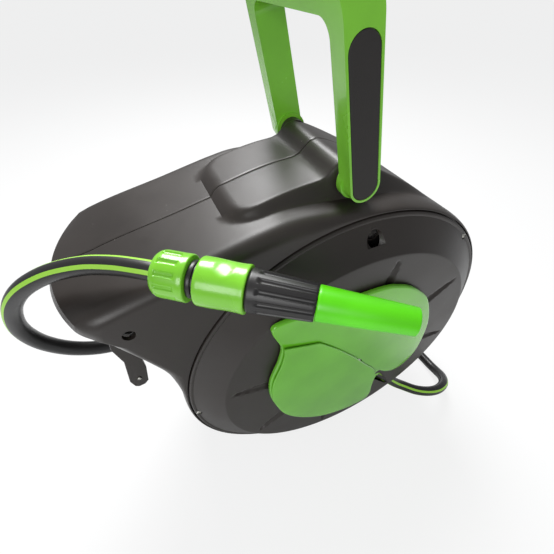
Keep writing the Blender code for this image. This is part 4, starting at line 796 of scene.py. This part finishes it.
def groove(turn, count, half):
    """How deep a round groove is at an angle, from 0 at its edges to 1 in its middle."""
    off = abs((turn * count / (2 * pi)) % 1 - 0.5) / half
    return (1 - off * off) ** 0.5 if off < 1 else 0.0


def nut_flutes(radius, height, turn):
    ends = 1 - swell(height, 0.0030, 0.0048)
    return 0.0013 * groove(turn, 12, 0.24) * swell(height, -0.0105, -0.0085) * ends


def barrel_flutes(radius, height, turn):
    return 0.0014 * groove(turn, 12, 0.27) * swell(height, 0.0553, 0.0580)


def finger_dip(radius, height, turn):
    """Two shallow dips for the fingers, above and below."""
    aside = radius * atan2(sin(2 * (turn - finger_turn)), cos(2 * (turn - finger_turn))) / 2
    off = (aside / 0.0085) ** 2 + ((height - 0.0335) / 0.0075) ** 2
    return 0.0010 * (1 - off) ** 1.5 * (1 + 0.5 * off) if off < 1 else 0.0


def turned_piece(name, profile, place, steps=96, dent=None):
    return laid_grid(name, turned_rows(profile, steps, dent), place)


def eased(points, step, share=0):
    """More points along a stretch of a profile, each with its share of the dent."""
    made = []
    for (r0, z0), (r1, z1) in zip(points, points[1:]):
        parts = max(1, round(hypot(r1 - r0, z1 - z0) / step))
        made += [(r0 + (r1 - r0) * k / parts, z0 + (z1 - z0) * k / parts, share) for k in range(parts)]
    return made + [(*points[-1], share)]


above = NOZZLE_SPOT.to_3x3().inverted() @ Vector((0, 0, 1))
finger_turn = atan2(above.y, above.x)
for prefix, spot, slider in (("hose", NOZZLE_SPOT, "connector_sleeve"),
                             ("tap", TAP_SPOT, "tap_connector_sleeve")):
    nut_profile = (eased([(0.0071, -0.0150), (0.0104, -0.0150), (0.0124, -0.0147), (0.0143, -0.0136),
                          (0.0156, -0.0118), (0.0163, -0.0098), (0.0165, -0.0080), (0.0165, 0.0040),
                          (0.0165, 0.0062)], 0.0005, 1)
                   + [(0.0165, 0.0090, 0), (0.0162, 0.0096, 0), (0.0156, 0.0099, 0), (0.0096, 0.0099, 0),
                      (0.0096, -0.0126, 0), (0.0071, -0.0126, 0), (0.0071, -0.0150, 0)])
    nut = turned_piece(prefix + "_nut_fluted", nut_profile, spot, 288, nut_flutes)
    finish(nut, fitting_green, "housing", "fitting_green", prefix + "_nut")
    body = turned_piece(prefix + "_body_turned", plain(
        [(0.0040, -0.0126), (0.0060, -0.0126), (0.0090, -0.0106), (0.0092, 0.0102), (0.0124, 0.0102),
         (0.0130, 0.0106), (0.0131, 0.0112), (0.0131, 0.0132), (0.0128, 0.0136), (0.0120, 0.0138),
         (0.0120, 0.0152), (0.0128, 0.0154), (0.0131, 0.0158), (0.0131, 0.0225), (0.0106, 0.0230),
         (0.0102, 0.0420), (0.0072, 0.0420), (0.0070, 0.0417), (0.0070, 0.0305), (0.0040, 0.0305)]), spot)
    finish(body, fitting_black, "housing", "black_plastic", prefix + "_body")
    outside = [(0.0158, 0.0162), (0.0164, 0.0165), (0.0168, 0.0173), (0.0169, 0.0185), (0.0169, 0.0240),
               (0.0168, 0.0275), (0.0166, 0.0315), (0.0164, 0.0350), (0.0163, 0.0375), (0.0163, 0.0415),
               (0.0164, 0.0450), (0.0166, 0.0476), (0.0166, 0.0485), (0.0164, 0.0490), (0.0160, 0.0493)]
    inside = [(0.0132, 0.0493, 0), (0.0130, 0.0491, 0), (0.0130, 0.0440, 0), (0.0110, 0.0425, 0),
              (0.0110, 0.0278, 0), (0.0135, 0.0278, 0), (0.0135, 0.0162, 0), (0.0158, 0.0162, 1)]
    sleeve_profile = eased(outside, 0.0007, 1) + inside
    slide = turned_piece(prefix + "_sleeve_waisted", sleeve_profile, spot, 128, finger_dip)
    finish(slide, fitting_green, slider, "fitting_green", prefix + "_sleeve")

stem = turned_piece("nozzle_stem_turned", plain(
    [(0.0036, 0.0312), (0.0060, 0.0312), (0.0066, 0.0318), (0.0066, 0.0352), (0.0054, 0.0352),
     (0.0054, 0.0374), (0.0066, 0.0374), (0.0066, 0.1180), (0.0036, 0.1180)]), NOZZLE_SPOT, 64)
finish(stem, fitting_black, "housing", "black_plastic", "nozzle_stem")
seal = turned_piece("nozzle_seal_ring", plain(
    [(0.0062 + 0.0007 * cos(2 * pi * k / 16), 0.0363 + 0.0007 * sin(2 * pi * k / 16)) for k in range(16)]),
    NOZZLE_SPOT, 64)
finish(seal, seal_black, "housing", "seal_rubber", "nozzle_seal")
barrel_side = [(0.0138, 0.0496), (0.0144, 0.0498), (0.0148, 0.0503), (0.01495, 0.0512), (0.01478, 0.0545),
               (0.01272, 0.0918), (0.0126, 0.0925), (0.0123, 0.0930)]
barrel = turned_piece("nozzle_barrel_fluted", eased(barrel_side, 0.0009, 1)
                      + [(0.0069, 0.0930, 0), (0.0069, 0.0496, 0), (0.0138, 0.0496, 1)], NOZZLE_SPOT, 288,
                      barrel_flutes)
finish(barrel, fitting_black, "housing", "black_plastic", "nozzle_barrel")
tip = turned_piece("nozzle_tip_smooth", plain(
    [(0.0070, 0.0934), (0.0110, 0.0934), (0.0116, 0.0937), (0.0119, 0.0943), (0.0119, 0.0955),
     (0.0105, 0.1250), (0.00905, 0.1536), (0.0089, 0.1541), (0.0085, 0.1545), (0.0080, 0.1546),
     (0.0050, 0.1546), (0.0047, 0.1544), (0.0030, 0.1486), (0.0030, 0.1380), (0.0070, 0.1300)]), NOZZLE_SPOT)
finish(tip, tip_green, "tip", "tip_green", "nozzle_tip")


# ---- Screws and pins
# Pan-head steel screws with cross recesses hold the covers, the nose and the crank. Those in
# deep wells get zinc darkened as painted shade, the others bright zinc.

# Zinc darkened nearly to black: painted shade for the screws that sit in deep wells.
well_shaded_zinc = moulded("zinc with painted well shade", (0.045, 0.042, 0.040), 0.35, 0.5, pit=0.00001, scale=900, scuffs=0.2,
                     metal=1.0)
zinc = moulded("zinc plate", (0.55, 0.54, 0.50), 0.28, 0.42, pit=0.00001, scale=900, scuffs=0.2, metal=1.0)


def cross_screw(name, middle, size, place, node, body="housing", look=zinc):
    """A screw by its size: radius of the head, seat, crown, tip and radius of the shank."""
    head, seat, crown, tip, shank = size
    profile = [(0.0002, crown), (0.45 * head, crown - 0.0001), (0.75 * head, crown - 0.0004),
               (0.93 * head, crown - 0.0008), (head, crown - 0.0013), (head, seat), (shank, seat),
               (shank, tip + 0.001), (0.3 * shank, tip), (0.0002, tip)]
    axis = place @ Matrix.Translation((*middle, 0))
    piece = turned_piece(name, plain(profile), axis, 48)
    spot = axis @ Matrix.Rotation(0.5, 4, "Z")
    long, wide = head * 0.62, head * 0.16
    for x, y in ((long, wide), (wide, long)):
        shaped(piece, "DIFFERENCE", [block("slot", (-x, -y, crown - 0.0009), (x, y, crown + 0.01), spot)])
    finish(piece, look, body, "zinc_steel", node)


RIM_SCREW = (0.0030, 0.0835, 0.0857, 0.0768, 0.0016)
BOSS_SCREW = (0.0048, 0.0867, 0.0889, 0.0710, 0.0016)
NOSE_LONG_SCREW = (0.0048, 0.0758, 0.0785, -0.022, 0.0019)
CRANK_SCREW = (0.0088, 0.1088, 0.1105, 0.098, 0.0028)
for side, place, flip in SIDES:
    for i, (r, a) in enumerate(SCREW_SPOTS):
        spot, node = (flip * r * cos(a), r * sin(a)), f"cover_screw_{side}_{i + 1}"
        if r < RIM_SCREW_OUT:
            cross_screw(f"boss_screw_{side}", spot, BOSS_SCREW, place, node, look=well_shaded_zinc)
        else:
            cross_screw(f"rim_screw_{side}_{i + 1}", spot, RIM_SCREW, place, node)
cross_screw("nose_long_screw", NOSE_SCREW, NOSE_LONG_SCREW, NEAR, "nose_screw", look=well_shaded_zinc)
cross_screw("crank_centre_screw", (0, 0), CRANK_SCREW, NEAR, "crank_screw", "drum")


# ---- Crank grip
# A flat black bar of acetal with round ends, moulded in one piece. It swings out of the
# crank's window on a steel pin through one end.

GRIP_REACH, GRIP_HEIGHT, GRIP_ROUND, GRIP_HALF = 0.0315, 0.1084, 0.0035, 0.0105
GRIP_SIDE = GRIP_PLACE @ Matrix.Rotation(pi / 2, 4, "X")
grip_side = (arc((GRIP_REACH, GRIP_HEIGHT), GRIP_ROUND, -pi / 2, pi / 2, 14)
             + arc((-GRIP_REACH, GRIP_HEIGHT), GRIP_ROUND, pi / 2, 3 * pi / 2, 14))
grip = slab("crank_grip_bar", grip_side, -GRIP_HALF, GRIP_HALF, GRIP_SIDE)
softened(grip, 0.0012)
shaped(grip, "DIFFERENCE", [rod("grip_bore", (GRIP_REACH, GRIP_HEIGHT), 0.0019, -0.02, 0.02, GRIP_SIDE)])
finish(grip, fitting_black, "grip", "black_plastic", "crank_grip")


# ---- Hose guide
# A black frame in the nose's open end, of two cheeks joined by a bridge; the hose runs between
# two grey rollers that turn on steel pins.

ROLLER_SPOTS = {"top": (-0.2265, 0.078), "bottom": (-0.2270, 0.0215)}
CHEEK_OUT, CHEEK_IN, ROLLER_BORE, ROLLER_END, PIN_END = 0.042, 0.038, 0.0023, 0.0377, 0.0432
guide_line = [(-0.2370, 0.078), (-0.2325, 0.055), (-0.2370, 0.020), (-0.2345, 0.0095), (-0.2310, 0.0068),
              (-0.2245, 0.0078), (-0.2200, 0.0125), (-0.2165, 0.034), (-0.2165, 0.1585), (-0.2256, 0.1565),
              (-0.2286, 0.1447)]
bridge_line = [(-0.2165, 0.1545), (-0.2165, 0.1590), (-0.2256, 0.1569), (-0.2256, 0.1530)]
rib_line = [(-0.2190, 0.118), (-0.2190, 0.121), (-0.2290, 0.121), (-0.2290, 0.118)]
cheeks = []
for side, low, high in (("near", CHEEK_IN, CHEEK_OUT), ("far", -CHEEK_OUT, -CHEEK_IN)):
    cheek = slab("guide_cheek_" + side, guide_line, low, high, NEAR)
    softened(cheek, 0.0007, 2)
    cheeks.append(cheek)
guide = cheeks[0]
guide.name = guide.data.name = "hose_guide_frame"
shaped(guide, "UNION", [cheeks[1], slab("guide_bridge", bridge_line, -0.041, 0.041, NEAR),
                        slab("guide_rib", rib_line, 0.0365, 0.0385, NEAR)])
shaped(guide, "DIFFERENCE", [rod("roller_hole", spot, ROLLER_BORE, -0.06, 0.06, NEAR)
                             for spot in ROLLER_SPOTS.values()])
finish(guide, housing_black, "housing", "black_plastic", "hose_guide")
roller_grey = moulded("roller grey", (0.085, 0.085, 0.088), 0.4, 0.52, pit=0.00004, scale=1200, scuffs=0.4)
waist = [(0.0044 + 0.0006 * (z / ROLLER_END) ** 2, z) for z in [0.0371 - 0.0742 * k / 20 for k in range(21)]]
roller_profile = ([(ROLLER_BORE, ROLLER_END), (0.0046, ROLLER_END)] + waist
                  + [(0.0046, -ROLLER_END), (ROLLER_BORE, -ROLLER_END)])
pin_profile = [(0.0001, PIN_END), (0.0016, PIN_END), (0.0020, PIN_END - 0.0004), (0.0020, 0.0004 - PIN_END),
               (0.0016, -PIN_END), (0.0001, -PIN_END)]
for part, spot in ROLLER_SPOTS.items():
    at_roller = NEAR @ Matrix.Translation((*spot, 0))
    roller = turned_piece(f"guide_roller_{part}_waisted", plain(roller_profile), at_roller, 48)
    finish(roller, roller_grey, "roller_" + part, "grey_plastic", "guide_roller_" + part)
    pin = turned_piece(f"guide_roller_{part}_axle", plain(pin_profile), at_roller, 32)
    finish(pin, zinc, "housing", "zinc_steel", f"guide_roller_{part}_pin")


# ---- Drum and wound hose
# Two grey flanges with six windows each are pressed on a tube core, on a hollow steel shaft
# that brings the water in. The hose lies on the core in seven layers of seven turns.

drum_grey = moulded("drum grey", (0.075, 0.075, 0.077), 0.42, 0.55, pit=0.00005, scale=1300, scuffs=0.3)
wound_black = moulded("wound hose black", (0.016, 0.015, 0.015), 0.30, 0.50, pit=0.00008, scale=900,
                      scuffs=0.2)
TURNS, LAST_LAYER, CORE_SKIN, WOUND_HALF = 7, 0.1276, 0.0454, 0.05075
WINDOWS, WINDOW_IN, WINDOW_OUT, WINDOW_HALF = 6, 0.070, 0.116, 0.25
scallops = []
for i in range(TURNS):
    middle = WOUND_HALF - HOSE / 2 * (2 * i + 1)
    scallops += arc((LAST_LAYER, middle), HOSE / 2, pi / 2, pi / 2 - pi * 8 / 9, 8)
wound_profile = ([(CORE_SKIN, 0.0507)] + scallops + [(LAST_LAYER, -0.0507), (CORE_SKIN, -0.0507)])
wound = turned_piece("wound_hose_turns", plain(wound_profile), NEAR, 160)
finish(wound, wound_black, "drum", "hose_black", "wound_hose")
flange_side = [(0.0124, 0.0624), (0.0195, 0.0624), (0.0203, 0.0622), (0.0238, 0.0597), (0.0245, 0.0594),
               (0.1515, 0.0594), (0.1525, 0.0597), (0.1555, 0.0616), (0.1562, 0.0619), (0.1592, 0.0619),
               (0.1597, 0.0614), (0.1597, 0.0566), (0.1592, 0.0561), (0.0417, 0.0561), (0.0416, 0.0501),
               (0.0390, 0.0501), (0.0390, 0.0561), (0.0240, 0.0561), (0.0200, 0.0461), (0.0124, 0.0461)]
for side, turn in (("near", 0), ("far", pi)):
    spot = NEAR @ Matrix.Rotation(turn, 4, "X")
    flange = turned_piece("flange_" + side + "_windowed", plain(flange_side), spot, 180)
    middles = [2 * pi * i / WINDOWS for i in range(WINDOWS)]
    shaped(flange, "DIFFERENCE", [sector_block("window", WINDOW_IN, WINDOW_OUT, middle - WINDOW_HALF,
                                               middle + WINDOW_HALF, 0.04, 0.08, spot) for middle in middles])
    finish(flange, drum_grey, "drum", "grey_plastic", "flange_" + side)


# ---- Feet, and what stays as the solids are
# Four rubber feet sit in the base frame. The frame, the inlet, the bearings, the shaft and the
# pins keep their solids and the finish of the part they belong to; the frame and the inlet gland get a small
# bevel.

foot_side = [(0.0001, 0.0057), (0.0107, 0.0057), (0.0110, 0.0054), (0.0110, 0.0014), (0.0107, 0.0006),
             (0.0099, 0.0001), (0.0096, 0.0), (0.0060, 0.0), (0.0056, 0.0006), (0.0001, 0.0006)]
for name in ("foot_front_near", "foot_front_far", "foot_rear_near", "foot_rear_far"):
    solid = bpy.data.objects[name]
    corners = [solid.matrix_world @ Vector(c) for c in solid.bound_box]
    centre = sum(corners, Vector()) / 8
    foot = turned_piece(name + "_rubber", plain(foot_side), Matrix.Translation((centre.x, centre.y, 0)), 64)
    finish(foot, seal_black, "housing", "seal_rubber", name)
bush_white = moulded("bush white", (0.70, 0.70, 0.67), 0.35, 0.5, pit=0.00002, scale=900, scuffs=0.3)
for names, look, bevel in (
        ("base_frame", housing_black, 0.0008), ("inlet_collar hose_spigot", fitting_black, 0.0),
        ("inlet_gland", fitting_green, 0.0006), ("inlet_seal", seal_black, 0.0),
        ("bush_near bush_far", bush_white, 0.0), ("drum_core", drum_grey, 0.0),
        ("drum_shaft handle_pin_near handle_pin_far crank_grip_pin", zinc, 0.0)):
    for name in names.split():
        solid = bpy.data.objects[name]
        solid.data.materials.clear()
        solid.data.materials.append(look)
        if bevel:
            edge = solid.modifiers.new("soft edges", "BEVEL")
            edge.width, edge.segments, edge.limit_method, edge.angle_limit = bevel, 2, "ANGLE", radians(40)
